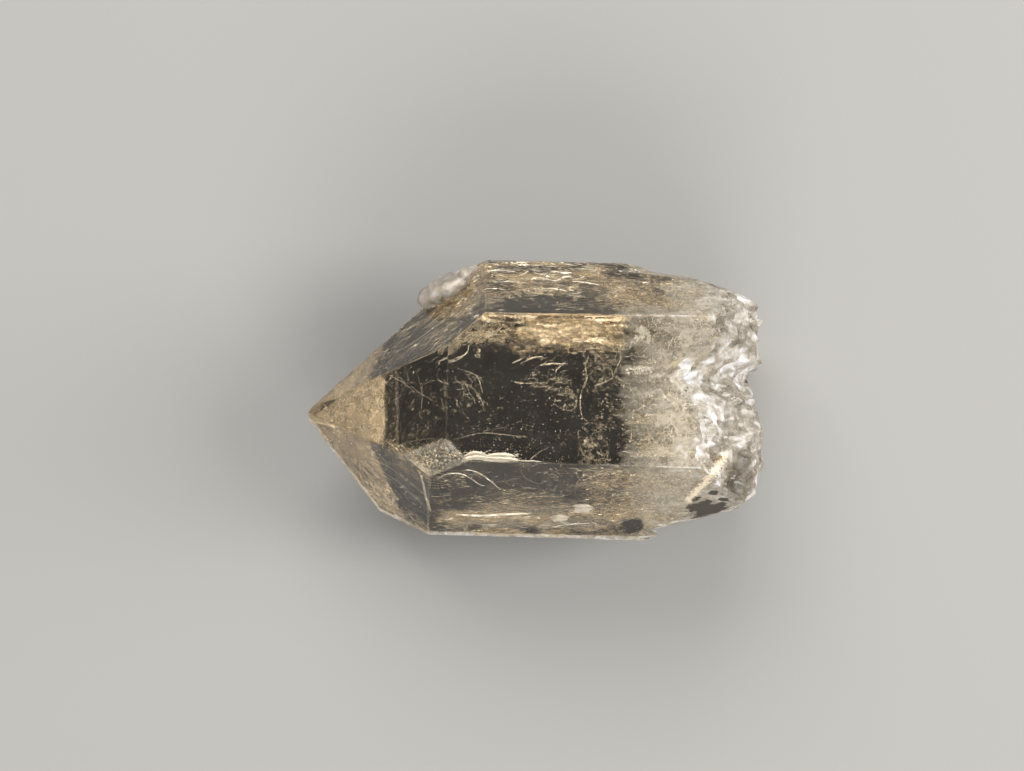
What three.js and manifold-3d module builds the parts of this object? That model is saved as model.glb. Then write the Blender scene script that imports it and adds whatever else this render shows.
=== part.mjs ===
// Quartz specimen: one natural crystal point, lying on a prism face.
// Millimetres, +Z up. The long axis of the crystal runs along X, with the point towards -X
// and the broken end towards +X. The origin is under the middle of the crystal.
import * as THREE from 'three';
import { ConvexGeometry } from 'three/addons/geometries/ConvexGeometry.js';
import { mergeVertices } from 'three/addons/utils/BufferGeometryUtils.js';
import Module from 'manifold-3d';

const wasm = await Module();
wasm.setup();

// Grown faces. A face is a plane: around is the turn of its outward normal about the long axis,
// from straight up (0) towards -Y (90), lean is the angle between that normal and the direction
// of the point (-X), and distance is how far the plane lies from the origin along its normal.
const PRISM_LEAN = 90;
const RHOMB_LEAN = 51.8;
const FACES = [
  // the six prism faces, the fourth being the one that the crystal rests on
  { around: 0.8, lean: PRISM_LEAN + 0.1, distance: 30.55 },
  { around: 61.1, lean: PRISM_LEAN - 1.5, distance: 21.75 },
  { around: 119.8, lean: PRISM_LEAN - 1.2, distance: 9.95 },
  { around: 180, lean: PRISM_LEAN, distance: 0 },
  { around: 240, lean: PRISM_LEAN + 1.5, distance: 6.45 },
  { around: 300.2, lean: PRISM_LEAN + 0.9, distance: 25.1 },
  // five faces of the point: the sixth grew so slowly that it was lost
  { around: -0.4, lean: RHOMB_LEAN + 0.2, distance: 31.1 },
  { around: 59.7, lean: RHOMB_LEAN + 1.1, distance: 25.7 },
  { around: 179.9, lean: RHOMB_LEAN - 0.5, distance: 7.45 },
  { around: 240, lean: RHOMB_LEAN + 0.1, distance: 11.0 },
  { around: 299.6, lean: RHOMB_LEAN + 0.6, distance: 23.75 },
  // the small four-sided face between the top prism face and its neighbour's point face
  { around: 30.2, lean: 64.1, distance: 30.95 },
  // the worn tip
  { around: 20, lean: 8, distance: 31.75 },
];
const BLANK_END = 36; // the grown faces run past the broken end before it is cut

// Broken end. Each lobe is bounded by flat breaks, and the end is the outer surface of the lobes.
// A break is a plane through a point, with an outward normal.
const UPPER_LOBE = [
  { through: [29.4, 8.0, 14], normal: [1, 0.03, 0.04] },
  { through: [26.5, 9.5, 24], normal: [0.9, 0.1, 0.42] },
  { through: [23.3, 8.0, 30.5], normal: [0.63, -0.68, 0.38] },
  { through: [28.4, 12.6, 18], normal: [0.53, 0.84, 0.08] },
  { through: [23.5, 14.9, 18], normal: [0.34, 0.93, 0.05] },
  { through: [15.0, 16.7, 18], normal: [0.12, 0.98, 0.1] },
  { through: [28.2, 3.0, 14], normal: [0.8, -0.6, 0.02] },
  { through: [28.0, 7.0, 5], normal: [0.87, 0.12, -0.48] },
];
const LOWER_LOBE = [
  { through: [29.0, -2.0, 12], normal: [0.97, 0.22, 0.04] },
  { through: [29.7, -9.5, 12], normal: [0.99, -0.12, 0.03] },
  { through: [28.5, -12.7, 12], normal: [0.61, -0.79, 0.03] },
  { through: [22.5, -15.35, 12], normal: [0.24, -0.97, 0.03] },
  { through: [17.6, 2.6, 30.5], normal: [0.69, 0.56, 0.47] },
  { through: [26.2, -9.0, 23.5], normal: [0.83, 0.1, 0.55] },
  { through: [28.3, -5.0, 4], normal: [0.9, -0.05, -0.43] },
];
const TONGUE = { end: 15.6, below: -17.3 }; // the corner of the prism that stands past the break
const BREAK_CELL = 1.0; // size of the triangles that the break is made of
const BREAK_RIPPLE = 0.28; // height of the waves on it

// Grown-on lump, on the ridge between the two faces of the point on the +Y side
const LUMP = { centre: [-10.6, 14.5, 19.0], half: [5.0, 2.5, 3.7], turn: 0.46 };
const LUMP_RIPPLE = 0.09; // as a share of its radius

/** Outward unit normal of a grown face. */
function faceNormal({ around, lean }) {
  const turn = THREE.MathUtils.degToRad(around);
  const tilt = THREE.MathUtils.degToRad(lean);
  return new THREE.Vector3(
    -Math.cos(tilt),
    -Math.sin(turn) * Math.sin(tilt),
    Math.cos(turn) * Math.sin(tilt),
  );
}

/** The corner that three planes share, or null where they meet in no single point. */
function sharedCorner(a, b, c) {
  const bc = new THREE.Vector3().crossVectors(b.normal, c.normal);
  const ca = new THREE.Vector3().crossVectors(c.normal, a.normal);
  const ab = new THREE.Vector3().crossVectors(a.normal, b.normal);
  const volume = a.normal.dot(bc);
  if (Math.abs(volume) < 1e-6) return null;
  return bc.multiplyScalar(a.distance)
    .addScaledVector(ca, b.distance)
    .addScaledVector(ab, c.distance)
    .divideScalar(volume);
}

/** The convex solid bounded by the grown faces, closed by a flat end. */
function grownSolid() {
  const planes = FACES.map((face) => ({ normal: faceNormal(face), distance: face.distance }));
  planes.push({ normal: new THREE.Vector3(1, 0, 0), distance: BLANK_END });
  const corners = [];
  for (let i = 0; i < planes.length; i++) {
    for (let j = i + 1; j < planes.length; j++) {
      for (let k = j + 1; k < planes.length; k++) {
        const corner = sharedCorner(planes[i], planes[j], planes[k]);
        if (corner === null) continue;
        const inside = planes.every((plane) => plane.normal.dot(corner) < plane.distance + 1e-6);
        const known = corners.some((other) => other.distanceTo(corner) < 1e-4);
        if (inside && !known) corners.push(corner);
      }
    }
  }
  return new ConvexGeometry(corners);
}

/** Where a line along X at (y, z) meets a break. */
function breakAt({ through, normal }, y, z) {
  return through[0] - (normal[1] * (y - through[1]) + normal[2] * (z - through[2])) / normal[0];
}

/** The waves of the broken surface: curved steps, as glass breaks. */
function breakRipple(y, z) {
  const arcs = Math.sin(1.1 * Math.hypot(y - 6, z - 31)) + Math.sin(1.4 * Math.hypot(y + 9, z + 2));
  const hackles = Math.sin(2.3 * y + 0.9 * z) * Math.sin(1.9 * z - 0.7 * y);
  return BREAK_RIPPLE * (0.6 * arcs + hackles);
}

/** The broken end as a height along X over the cross-section. */
function brokenEnd(y, z) {
  const upper = Math.min(...UPPER_LOBE.map((face) => breakAt(face, y, z)));
  const lower = Math.min(...LOWER_LOBE.map((face) => breakAt(face, y, z)));
  const tongue = y < TONGUE.below ? TONGUE.end : -Infinity;
  return Math.max(upper, lower, tongue) + breakRipple(y, z);
}

/** A closed block that fills all space behind the broken end, a box whose +X side is that surface. */
function behindTheBreak() {
  const [lowY, highY, lowZ, highZ, back] = [-22, 22, -3, 34, -40];
  const across = Math.round((highY - lowY) / BREAK_CELL);
  const up = Math.round((highZ - lowZ) / BREAK_CELL);
  const block = new THREE.BoxGeometry(1, 1, 1, 1, across, up);
  const point = block.getAttribute('position');
  for (let i = 0; i < point.count; i++) {
    const y = lowY + (point.getY(i) + 0.5) * (highY - lowY);
    const z = lowZ + (point.getZ(i) + 0.5) * (highZ - lowZ);
    point.setXYZ(i, point.getX(i) > 0 ? brokenEnd(y, z) : back, y, z);
  }
  return block;
}

/** The lump: an ellipsoid with a wavy skin, lying along the ridge. */
function lumpSolid() {
  const lump = new THREE.SphereGeometry(1, 22, 14);
  const point = lump.getAttribute('position');
  const at = new THREE.Vector3();
  for (let i = 0; i < point.count; i++) {
    at.fromBufferAttribute(point, i);
    const wave = Math.sin(5 * at.x + 2 * at.z) * Math.cos(4 * at.z - 3 * at.y);
    at.multiplyScalar(1 + LUMP_RIPPLE * wave);
    point.setXYZ(i, at.x * LUMP.half[0], at.y * LUMP.half[1], at.z * LUMP.half[2]);
  }
  lump.rotateZ(LUMP.turn);
  lump.translate(...LUMP.centre);
  return lump;
}

/** A closed three.js geometry as a solid that can be joined and cut. */
function asSolid(geometry) {
  const bare = geometry.clone();
  bare.deleteAttribute('normal');
  bare.deleteAttribute('uv');
  const merged = mergeVertices(bare, 1e-4);
  return new wasm.Manifold(new wasm.Mesh({
    numProp: 3,
    vertProperties: new Float32Array(merged.getAttribute('position').array),
    triVerts: new Uint32Array(merged.getIndex().array),
  }));
}

/** A solid as a three.js geometry, set with its box's middle over the origin. */
function asGeometry(solid) {
  const { vertProperties, triVerts } = solid.getMesh();
  const geometry = new THREE.BufferGeometry();
  geometry.setAttribute('position', new THREE.BufferAttribute(vertProperties, 3));
  geometry.setIndex(new THREE.BufferAttribute(triVerts, 1));
  geometry.computeBoundingBox();
  const middle = geometry.boundingBox.getCenter(new THREE.Vector3());
  geometry.translate(-middle.x, -middle.y, -geometry.boundingBox.min.z);
  geometry.computeVertexNormals();
  return geometry;
}

const crystal = asSolid(grownSolid()).intersect(asSolid(behindTheBreak())).add(asSolid(lumpSolid()));

const quartz = new THREE.MeshStandardMaterial({ color: 0xcdbda0, roughness: 0.12, metalness: 0 });
const crystalMesh = new THREE.Mesh(asGeometry(crystal), quartz);
crystalMesh.name = 'quartz_crystal';

const specimen = new THREE.Group();
specimen.name = 'quartz_specimen';
specimen.add(crystalMesh);

export default specimen;
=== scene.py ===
"""Quartz specimen: a clear, pale champagne crystal point with a broken, cloudy end.

Shapes are worked out in millimetres in the crystal's own frame, the frame of the table of grown
faces below, and are set into the CAD box, in metres, when they become meshes. Noise is hashed
from places, and the random draws of each part start from a seed of its own.
"""
import itertools
import math

import bpy
import numpy as np
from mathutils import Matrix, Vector


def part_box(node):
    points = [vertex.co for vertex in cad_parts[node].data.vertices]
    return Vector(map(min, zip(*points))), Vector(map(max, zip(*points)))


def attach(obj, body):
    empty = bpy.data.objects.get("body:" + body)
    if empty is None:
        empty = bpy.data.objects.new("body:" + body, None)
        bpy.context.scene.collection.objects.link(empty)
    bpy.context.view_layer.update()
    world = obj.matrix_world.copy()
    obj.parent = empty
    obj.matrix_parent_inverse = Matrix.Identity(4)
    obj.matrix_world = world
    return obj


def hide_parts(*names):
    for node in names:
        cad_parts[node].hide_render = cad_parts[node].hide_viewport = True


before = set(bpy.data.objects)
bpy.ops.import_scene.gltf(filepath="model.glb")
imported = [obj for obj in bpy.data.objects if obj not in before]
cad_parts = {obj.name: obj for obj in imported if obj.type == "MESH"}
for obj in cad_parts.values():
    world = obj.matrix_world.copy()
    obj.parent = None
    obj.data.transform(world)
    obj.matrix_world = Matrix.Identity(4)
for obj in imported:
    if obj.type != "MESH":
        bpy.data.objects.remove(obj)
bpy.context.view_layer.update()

MM = 0.001
NODE = "quartz_crystal"

# The plan is the view from straight above: the point under the lens, the lens's height over the
# middle height, and how wide a view it has there, in millimetres.
VIEW_CENTRE = (-3.2, 2.08)
VIEW_DISTANCE = 500.0
VIEW_WIDTH = 134.8
MID_HEIGHT = 16.5

PRISM_LEAN = 90.0  # lean of a prism face
RHOMB_LEAN = 51.8  # lean of a face of the point, as quartz grows

# Grown faces: the turn of the outward normal about the long axis, from up towards -Y, its lean
# from the direction of the point, -X, both in degrees, and the distance of the face's plane from
# the origin in millimetres.
FACES = {
    "top": (0.8, PRISM_LEAN + 0.1, 30.55),
    "south_high": (61.1, PRISM_LEAN - 1.5, 21.75),
    "south_low": (119.8, PRISM_LEAN - 1.2, 9.95),
    "under": (180.0, PRISM_LEAN, 0.0),
    "north_low": (240.0, PRISM_LEAN + 1.5, 6.45),
    "north_high": (300.2, PRISM_LEAN + 0.9, 25.1),
    "point_top": (-0.4, RHOMB_LEAN + 0.2, 31.1),
    "point_south": (59.7, RHOMB_LEAN + 1.1, 25.7),
    "point_under": (179.9, RHOMB_LEAN - 0.5, 7.45),
    "point_north_low": (240.0, RHOMB_LEAN + 0.1, 11.0),
    "point_north_high": (299.6, RHOMB_LEAN + 0.6, 23.75),
    "scaly": (30.2, 64.1, 30.95),
    "tip": (20.0, 8.0, 31.75),
}
WALLS = ("top", "south_high", "south_low", "under", "north_low", "north_high")
BLANK_END = 36.0  # the grown faces run past the broken end before it is cut

# How blurred and how white each face is, the broken end last
FINISH = {
    "top": (0.0, 0.012), "south_high": (0.02, 0.012), "south_low": (0.05, 0.05), "under": (0.02, 0.0),
    "north_low": (0.06, 0.0), "north_high": (0.03, 0.025), "point_top": (0.0, 0.008),
    "point_south": (0.02, 0.018), "point_under": (0.16, 0.03), "point_north_low": (0.2, 0.03),
    "point_north_high": (0.03, 0.018), "scaly": (0.12, 0.08), "tip": (0.2, 0.2), "break": (0.2, 0.45),
}

# Broken end: two lobes, each bounded by flat breaks, a point on the plane and its normal
UPPER_LOBE = (
    ((29.4, 8.0, 14.0), (1.0, 0.03, 0.04)),
    ((26.5, 9.5, 24.0), (0.9, 0.1, 0.42)),
    ((23.3, 8.0, 30.5), (0.63, -0.68, 0.38)),
    ((28.4, 12.6, 18.0), (0.53, 0.84, 0.08)),
    ((23.5, 14.9, 18.0), (0.34, 0.93, 0.05)),
    ((15.0, 16.7, 18.0), (0.12, 0.98, 0.1)),
    ((28.2, 3.0, 14.0), (0.8, -0.6, 0.02)),
    ((28.0, 7.0, 5.0), (0.87, 0.12, -0.48)),
)
LOWER_LOBE = (
    ((29.0, -2.0, 12.0), (0.97, 0.22, 0.04)),
    ((29.7, -9.5, 12.0), (0.99, -0.12, 0.03)),
    ((28.5, -12.7, 12.0), (0.61, -0.79, 0.03)),
    ((22.5, -15.35, 12.0), (0.24, -0.97, 0.03)),
    ((17.6, 2.6, 30.5), (0.69, 0.56, 0.47)),
    ((26.2, -9.0, 23.5), (0.83, 0.1, 0.55)),
    ((28.3, -5.0, 4.0), (0.9, -0.05, -0.43)),
)
TONGUE_BELOW, TONGUE_END = -17.3, 15.6  # y under which the tongue lies, and x of its end

# Marks on the broken end, in mm
SHELL_CHIPS = ((0.85, 4.2, 17), (0.3, 1.9, 18))  # depth, size and seed
FLAT_CHIPS = ((2.6, 0.5, 71), (1.3, 0.55, 77))  # size, tilt and seed
CHIP_BEND = 0.9  # how far noise bends the outlines of the chips
FLAT_RANGE = (-0.9, 0.6)  # lowest and highest that flat chips go
ARCS = ((6, 31, 1.6), (-9, -2, 1.9))  # y and z of the start, and turns of the wave
BREAK_RISE, ARC_HEIGHT, HACKLE_HEIGHT = 0.3, 0.04, 0.1

HALF_EDGE_STEPS = 36  # grid steps along half of each edge of a face
EDGE_CROWDING = 1.5  # grid lines crowd towards the edges, where the wear is
HALVINGS = 50  # rounds that find where an edge meets the broken end
SETTLING_ROUNDS, SETTLING_SHARE = 25, 0.6  # rounds that bring an edge to the broken end
WEAR_DEPTH, WEAR_WIDTH = 0.09, 0.3  # mm
SHARP_ANGLE = 24.0  # edges that turn by more degrees look sharp

LUMP_CENTRE = np.array([-10.8, 13.4, 18.5])
LUMP_POWER = 6  # the greater, the deeper the creases between the knobs
KNOB_SHARE = 0.92  # of its radius, as blending swells a knob
# Knobs that make up the lump: centre and radius
LUMP_KNOBS = (
    ((-14.0, 13.4, 17.0), 1.55), ((-14.1, 12.9, 18.8), 1.15), ((-12.7, 14.5, 18.4), 1.7),
    ((-13.1, 13.4, 20.3), 1.1), ((-11.1, 15.2, 17.2), 1.7), ((-11.4, 14.4, 20.6), 1.3),
    ((-9.4, 15.9, 19.0), 1.45), ((-9.8, 15.2, 21.3), 1.0), ((-8.0, 16.3, 17.6), 1.3),
    ((-11.1, 14.9, 19.2), 1.5),
)

STAINED_CRACK = ((25.2, -6.6), (19.7, -13.6))  # ends of the stained crack in the plan
STAINED_HEIGHT = 20.0
STAIN_HALF_WIDTH, STAIN_WAVE = 0.0008, 0.0009  # metres
# Painted shade: a dark patch on the lower lobe, where the crystal should look dark
PAINTED_SHADE_PATCH = ((22.4, 1.9), (-13.6, 1.5))  # middle and half size in x and in y

# How white the tops of the scales, the lump, chips and the foot of the southern faces are
SCALE_MILK, LUMP_MILK, CHIP_MILK, SEAM_MILK = 0.34, 0.58, 0.7, 0.55
TOP_RIM_MILK = 0.03  # and the worn edges around the top, whose rim stays clear

# Clearer places in the milky zone: middle and half sizes in x and y, and how clear
WINDOWS = (
    (15.8, 5.3, 4.2, 1.7, 0.22),
    (21.8, -13.9, 2.6, 1.5, 1.0),
    (13.0, -16.6, 1.2, 0.9, 0.9),
    (26.6, -10.2, 2.3, 3.6, 1.2),
    (17.0, 14.8, 7.0, 2.8, 0.75),
    (19.0, 8.3, 5.0, 2.6, 0.4),
    (9.8, -10.2, 2.5, 1.2, 0.8),
)

# Ranges in x, y and z of the milky clouds and of the haze
CLOUD_BOX = ((9.5, 29.0), (-18, 17.5), (0.5, 30.2))
HAZE_BOX = ((-26, 13), (-17.5, 17.5), (0.5, 30))

# Least depths inside the crystal, in mm, of a flake's middle, a flake's corners and a thread. The
# broken end is rough, so that they grow by BREAK_MARGIN there.
FLAKE_GAP, CORNER_GAP, THREAD_GAP = 0.22, 0.06, 0.18
BREAK_MARGIN = 1.6
THREAD_STEPS, STROKE_STEPS, CREST_STEPS = 10, 36, 60  # points along a thread or a drawn crack

# Directions that a crack under each upper face takes to show a light to a viewer above, and what
# turns flakes that lie along the face to the light
FACING = {
    "top": (0.0, 0.12, 1.0),
    "north_high": (0.0, 0.61, 0.79),
    "south_high": (0.0, -0.65, 0.76),
    "point_north_high": (-0.34, 0.56, 0.75),
    "point_south": (-0.27, -0.61, 0.74),
    "point_top": (-0.32, 0.23, 0.92),
}
NORTH_LIGHT_FACING = (-0.05, 0.23, 0.97)
LEAN = {
    "top": (0.0, 0.2, 0.0),
    "north_high": (0.0, -0.3, 0.2),
    "south_high": (0.0, 0.3, 0.2),
    "point_north_high": (0.27, -0.12, 0.36),
    "point_south": (0.33, 0.08, 0.34),
    "point_top": (0.3, 0.23, 0.13),
    "scaly": (0.28, 0.0, 0.1),
}
LEVEL = np.array([0.0, 0.0, 1.0])
MOTTLE = 0.15  # how far the roughness of a sealed crack goes up and down

# Noise: what sets the lattices of its seeds apart, and what mixes up a lattice place's numbers
LATTICE_SHIFT = 17.31
PLACE_PRIMES = np.array([73856093, 19349663, 83492791])
SEED_PRIME, MIXER = 2654435, 1274126177


def value_noise(points, period, seed):
    """Smooth noise from -1 to 1: random values on a cubic lattice of the given period, each hashed
    from its lattice place, blended in between by the smooth step 3t^2 - 2t^3."""
    scaled = np.asarray(points, float) / period + LATTICE_SHIFT * (seed + 1)
    cell = np.floor(scaled).astype(np.int64)
    t = scaled - cell
    t = t * t * (3.0 - 2.0 * t)
    total = np.zeros(len(scaled))
    for corner in itertools.product((0, 1), repeat=3):
        a, b, c = ((cell + corner) * PLACE_PRIMES).T
        mixed = a ^ b ^ c ^ (seed * SEED_PRIME)
        mixed = (mixed ^ (mixed >> 13)) * MIXER & 0x7FFFFFFF
        mixed = (mixed ^ (mixed >> 16)) & 0xFFFF
        weight = np.prod(np.where(corner, t, 1.0 - t), axis=1)
        total += weight * (mixed / 32767.5 - 1.0)
    return total


def rough_noise(points, period, octaves, seed):
    """Sum of value noises, each of half the period and half the height of the one before."""
    layers = [value_noise(points, period / 2**k, seed + k) / 2**k for k in range(octaves)]
    return sum(layers)


def fade(values, width):
    """0 at nothing, rising smoothly to 1 at the given width: the smooth step 3t^2 - 2t^3."""
    t = np.clip(values / width, 0.0, 1.0)
    return t * t * (3.0 - 2.0 * t)


def ridges(points, direction, period, length, seed):
    """Ridges that run along a direction: noise on points squeezed along it, period wide and length
    long."""
    direction = np.array(direction, float) / np.linalg.norm(direction)
    along = points @ direction
    squeezed = points + np.outer(along * (period / length - 1.0), direction)
    return rough_noise(squeezed, period, 3, seed)


def squares_around(u, v, size, count, stretch, start, seed):
    """The nine squares around (u, v) of a lattice, one at a time: the square's middle in sides of
    a square, and some random values of its own, which are noise far apart."""
    column, row = np.floor(u / size).astype(np.int64), np.floor(v / size).astype(np.int64)
    for du, dv in itertools.product((-1, 0, 1), repeat=2):
        at = np.stack([column + du, row + dv, 0 * row], axis=-1).reshape(-1, 3)
        own = [value_noise((at + start) * stretch, 1.0, seed + k) for k in range(count)]
        yield column + du + 0.5, row + dv + 0.5, [values.reshape(np.shape(u)) for values in own]


def nearest_two(u, v, size, seed):
    """Distances from (u, v) to the nearest and the next nearest of a set of points, one jittered
    in each square of a lattice, as shares of the square's side."""
    found = [
        np.hypot(u - (column + 0.8 * own[0]) * size, v - (row + 0.8 * own[1]) * size) / size
        for column, row, own in squares_around(u, v, size, 2, 7.3, 0.5, seed)
    ]
    return np.sort(np.array(found), axis=0)[:2]


def scallops(y, z, size, seed):
    """Shell-shaped chips that meet in sharp ridges: 1 in the middle of a chip, 0 on a ridge, by
    1 - (distance to the nearest chip's middle / 0.75)^2."""
    return 1.0 - np.clip(nearest_two(y, z, size, seed)[0] / 0.75, 0, 1) ** 2


def flat_chips(u, v, size, tilt, seed):
    """Heights of flat chips that meet in steps: each place belongs to the nearest of a set of
    jittered points, one in each square of a lattice, and lies on a plane through that point whose
    slopes and height are that point's own random values."""
    nearest, height = np.full(np.shape(u), np.inf), np.zeros(np.shape(u))
    for column, row, own in squares_around(u, v, size, 5, 5.7, 0.0, seed):
        own = [1.6 * values for values in own]
        away_u, away_v = u - (column + 0.4 * own[0]) * size, v - (row + 0.4 * own[1]) * size
        plane = tilt * (away_u * own[2] + away_v * own[3] + 0.3 * size * own[4])
        away = np.hypot(away_u, away_v)
        height = np.where(away < nearest, plane, height)
        nearest = np.minimum(nearest, away)
    return height


def face_normals():
    """Outward unit normals of the grown faces, one row for each."""
    around, lean, _ = np.radians(np.array(list(FACES.values()))).T
    return np.stack(
        [-np.cos(lean), -np.sin(around) * np.sin(lean), np.cos(around) * np.sin(lean)], axis=1
    )


NAMES = list(FACES)
NORMALS = face_normals()
DISTANCES = np.array([face[2] for face in FACES.values()])
BROKEN = len(NAMES)  # the number of the broken end, after those of the grown faces
FINISHES = np.array(list(FINISH.values()))


def plane_of(name):
    """A grown face's outward normal and its plane's distance from the origin."""
    return NORMALS[NAMES.index(name)], DISTANCES[NAMES.index(name)]


def depths(points, *names):
    """How deep each point lies under the planes of all grown faces, or of the named ones:
    distance - normal . point."""
    under = DISTANCES - points @ NORMALS.T
    return under[:, [NAMES.index(name) for name in names]] if names else under


def on_faces(owner, *names):
    """True for each point that belongs to one of the named faces."""
    return np.isin(owner, [NAMES.index(name) for name in names])


def by_face(points, owner, rules):
    """Values at the points by a rule of each face's own, and 0 where there is none."""
    values = np.zeros(len(points))
    for name, rule in rules.items():
        here = on_faces(owner, name)
        values[here] = rule(points[here])
    return values


def lobe_end(lobe, y, z):
    """The least x at which a line along X at (y, z) meets one of a lobe's breaks."""
    ends = [p[0] - (n[1] * (y - p[1]) + n[2] * (z - p[2])) / n[0] for p, n in lobe]
    return np.minimum.reduce(ends)


def broken_end(y, z):
    """x of the broken end over the cross-section: the outer of the two lobes and the tongue, less
    two sizes of shell-shaped chips, plus flat chips, curved steps, which are sines of the distance
    from two starting points, and noise."""
    whole = np.maximum(lobe_end(UPPER_LOBE, y, z), lobe_end(LOWER_LOBE, y, z))
    whole = np.where(y < TONGUE_BELOW, np.maximum(whole, TONGUE_END), whole)
    at = np.stack([0 * y, y, z], axis=-1).reshape(-1, 3)
    bent_y = y + CHIP_BEND * rough_noise(at, 3.0, 2, seed=15).reshape(np.shape(y))
    bent_z = z + CHIP_BEND * rough_noise(at, 3.0, 2, seed=16).reshape(np.shape(y))
    arcs = sum(np.sin(turns * np.hypot(y - from_y, z - from_z)) for from_y, from_z, turns in ARCS)
    chips = sum(depth * scallops(bent_y, bent_z, size, seed) for depth, size, seed in SHELL_CHIPS)
    flats = sum(flat_chips(bent_y, bent_z, size, tilt, seed) for size, tilt, seed in FLAT_CHIPS)
    hackle = rough_noise(at, 1.6, 3, seed=5).reshape(np.shape(y))
    whole = whole + BREAK_RISE - chips + flats.clip(*FLAT_RANGE)
    return whole + ARC_HEIGHT * arcs + HACKLE_HEIGHT * hackle


def grown_loops():
    """Corners of the solid that the grown faces and a flat blank end bound, and for each face the
    loop of its corners, anticlockwise seen from outside. A corner is where three planes meet."""
    normals = np.vstack([NORMALS, [1.0, 0.0, 0.0]])
    distances = np.append(DISTANCES, BLANK_END)
    corners = []
    for three in itertools.combinations(range(len(normals)), 3):
        planes = normals[list(three)]
        if abs(np.linalg.det(planes)) < 1e-6:
            continue
        corner = np.linalg.solve(planes, distances[list(three)])
        inside = (normals @ corner < distances + 1e-6).all()
        if inside and all(np.linalg.norm(corner - other) > 1e-4 for other in corners):
            corners.append(corner)
    corners = np.array(corners)
    loops = {}
    for name, normal, distance in zip(NAMES + ["break"], normals, distances):
        on_face = np.flatnonzero(np.abs(corners @ normal - distance) < 1e-5)
        centre = corners[on_face].mean(axis=0)
        across = np.cross(normal, (0.31, 0.52, 0.79))
        along = np.cross(normal, across)
        spokes = corners[on_face] - centre
        loops[name] = on_face[np.argsort(np.arctan2(spokes @ along, spokes @ across))]
    return corners, loops


def slide_to_break(corners, loops):
    """Slides each corner of the blank end back along its edge of the prism to the broken end, by
    halving the stretch of edge that holds it."""
    moved = corners.copy()
    blank = loops["break"]
    along = np.array([
        np.cross(*[plane_of(name)[0] for name in WALLS if index in loops[name]]) for index in blank
    ])
    along /= along[:, :1]
    low, high = np.full(len(blank), -BLANK_END), np.zeros(len(blank))
    for _ in range(HALVINGS):
        middle = (low + high) / 2
        x, y, z = (corners[blank] + middle[:, None] * along).T
        inside = x < broken_end(y, z)
        low, high = np.where(inside, middle, low), np.where(inside, high, middle)
    moved[blank] = corners[blank] + low[:, None] * along
    return moved


def crowded(count):
    """Steps from 0 to 1 that crowd towards 0: (i / count) to the power EDGE_CROWDING."""
    return (np.arange(count + 1) / count) ** EDGE_CROWDING


def edge_curves(corners, loops):
    """The points of each edge of the solid, crowded towards both of its ends. An edge between two
    grown faces is straight. One at the broken end follows its wall: (y, z) runs straight between
    the corners, x is that of the broken end, and both are put back on the wall's plane in turn."""
    half = crowded(HALF_EDGE_STEPS) / 2
    steps = np.concatenate([half, 1.0 - half[-2::-1]])[:, None]
    curves = {}
    for name in NAMES:
        normal, distance = plane_of(name)
        for a, b in zip(loops[name], np.roll(loops[name], -1)):
            if (b, a) in curves:
                continue
            line = corners[a] * (1 - steps) + corners[b] * steps
            if a in loops["break"] and b in loops["break"]:
                section = normal * (0, 1, 1) / (normal[1] ** 2 + normal[2] ** 2)
                inner = line[1:-1]
                for _ in range(SETTLING_ROUNDS):
                    inner[:, 0] += SETTLING_SHARE * (broken_end(*inner[:, 1:].T) - inner[:, 0])
                    inner += (distance - inner @ normal)[:, None] * section
            curves[a, b] = line
    return curves


def half_edge(curves, start, end):
    """The points of the half of an edge next to its start, from the start to the middle."""
    curve = curves[start, end] if (start, end) in curves else curves[end, start][::-1]
    return curve[: HALF_EDGE_STEPS + 1]


def corner_patch(first, second, centre):
    """Coons patch of the part of a face next to one corner. It is bounded by two half edges from
    the corner and by straight spokes from their far ends to the face's centre: the sum of both
    ruled surfaces less the bilinear one."""
    t = crowded(HALF_EDGE_STEPS)
    u, v = t[:, None, None], t[None, :, None]
    far_u = first[-1] * (1 - t[:, None]) + centre * t[:, None]
    far_v = second[-1] * (1 - t[:, None]) + centre * t[:, None]
    ruled_v = first[:, None] * (1 - v) + far_v[:, None] * v
    ruled_u = second[None, :] * (1 - u) + far_u[None, :] * u
    near_side = first[0] * (1 - u) + first[-1] * u
    far_side = second[-1] * (1 - u) + centre * u
    return ruled_u + ruled_v - (near_side * (1 - v) + far_side * v)


def grid_quads(rows, columns):
    """Corner indices of the squares of a grid whose points run along its columns first."""
    index = np.arange(rows * columns).reshape(rows, columns)
    square = [index[:-1, :-1], index[1:, :-1], index[1:, 1:], index[:-1, 1:]]
    return np.stack([side.ravel() for side in square], axis=1)


def crystal_surface():
    """Points, squares and the number of each point's face, for the whole unworn crystal."""
    corners, loops = grown_loops()
    corners = slide_to_break(corners, loops)
    curves = edge_curves(corners, loops)
    side = HALF_EDGE_STEPS + 1
    points, quads, owner = [], [], []
    for number, (name, loop) in enumerate(loops.items()):
        centre = corners[loop].mean(axis=0)
        for before, at, after in zip(np.roll(loop, 1), loop, np.roll(loop, -1)):
            first, second = half_edge(curves, at, after), half_edge(curves, at, before)
            patch = corner_patch(first, second, centre)
            if name == "break":
                patch[1:, 1:, 0] = broken_end(patch[1:, 1:, 1], patch[1:, 1:, 2])
            quads.append(grid_quads(side, side) + len(points) * side * side)
            points.append(patch.reshape(-1, 3))
            owner.append(np.full(side * side, number))
    return np.concatenate(points), np.concatenate(quads), np.concatenate(owner)


def welded(points, faces, digits):
    """The faces over points of which those that share a place, to some digits, are one, and the
    numbers of the points that are left."""
    _, first, index = np.unique(np.round(points, digits), axis=0, return_index=True, return_inverse=True)
    return index.ravel()[faces], first


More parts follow.
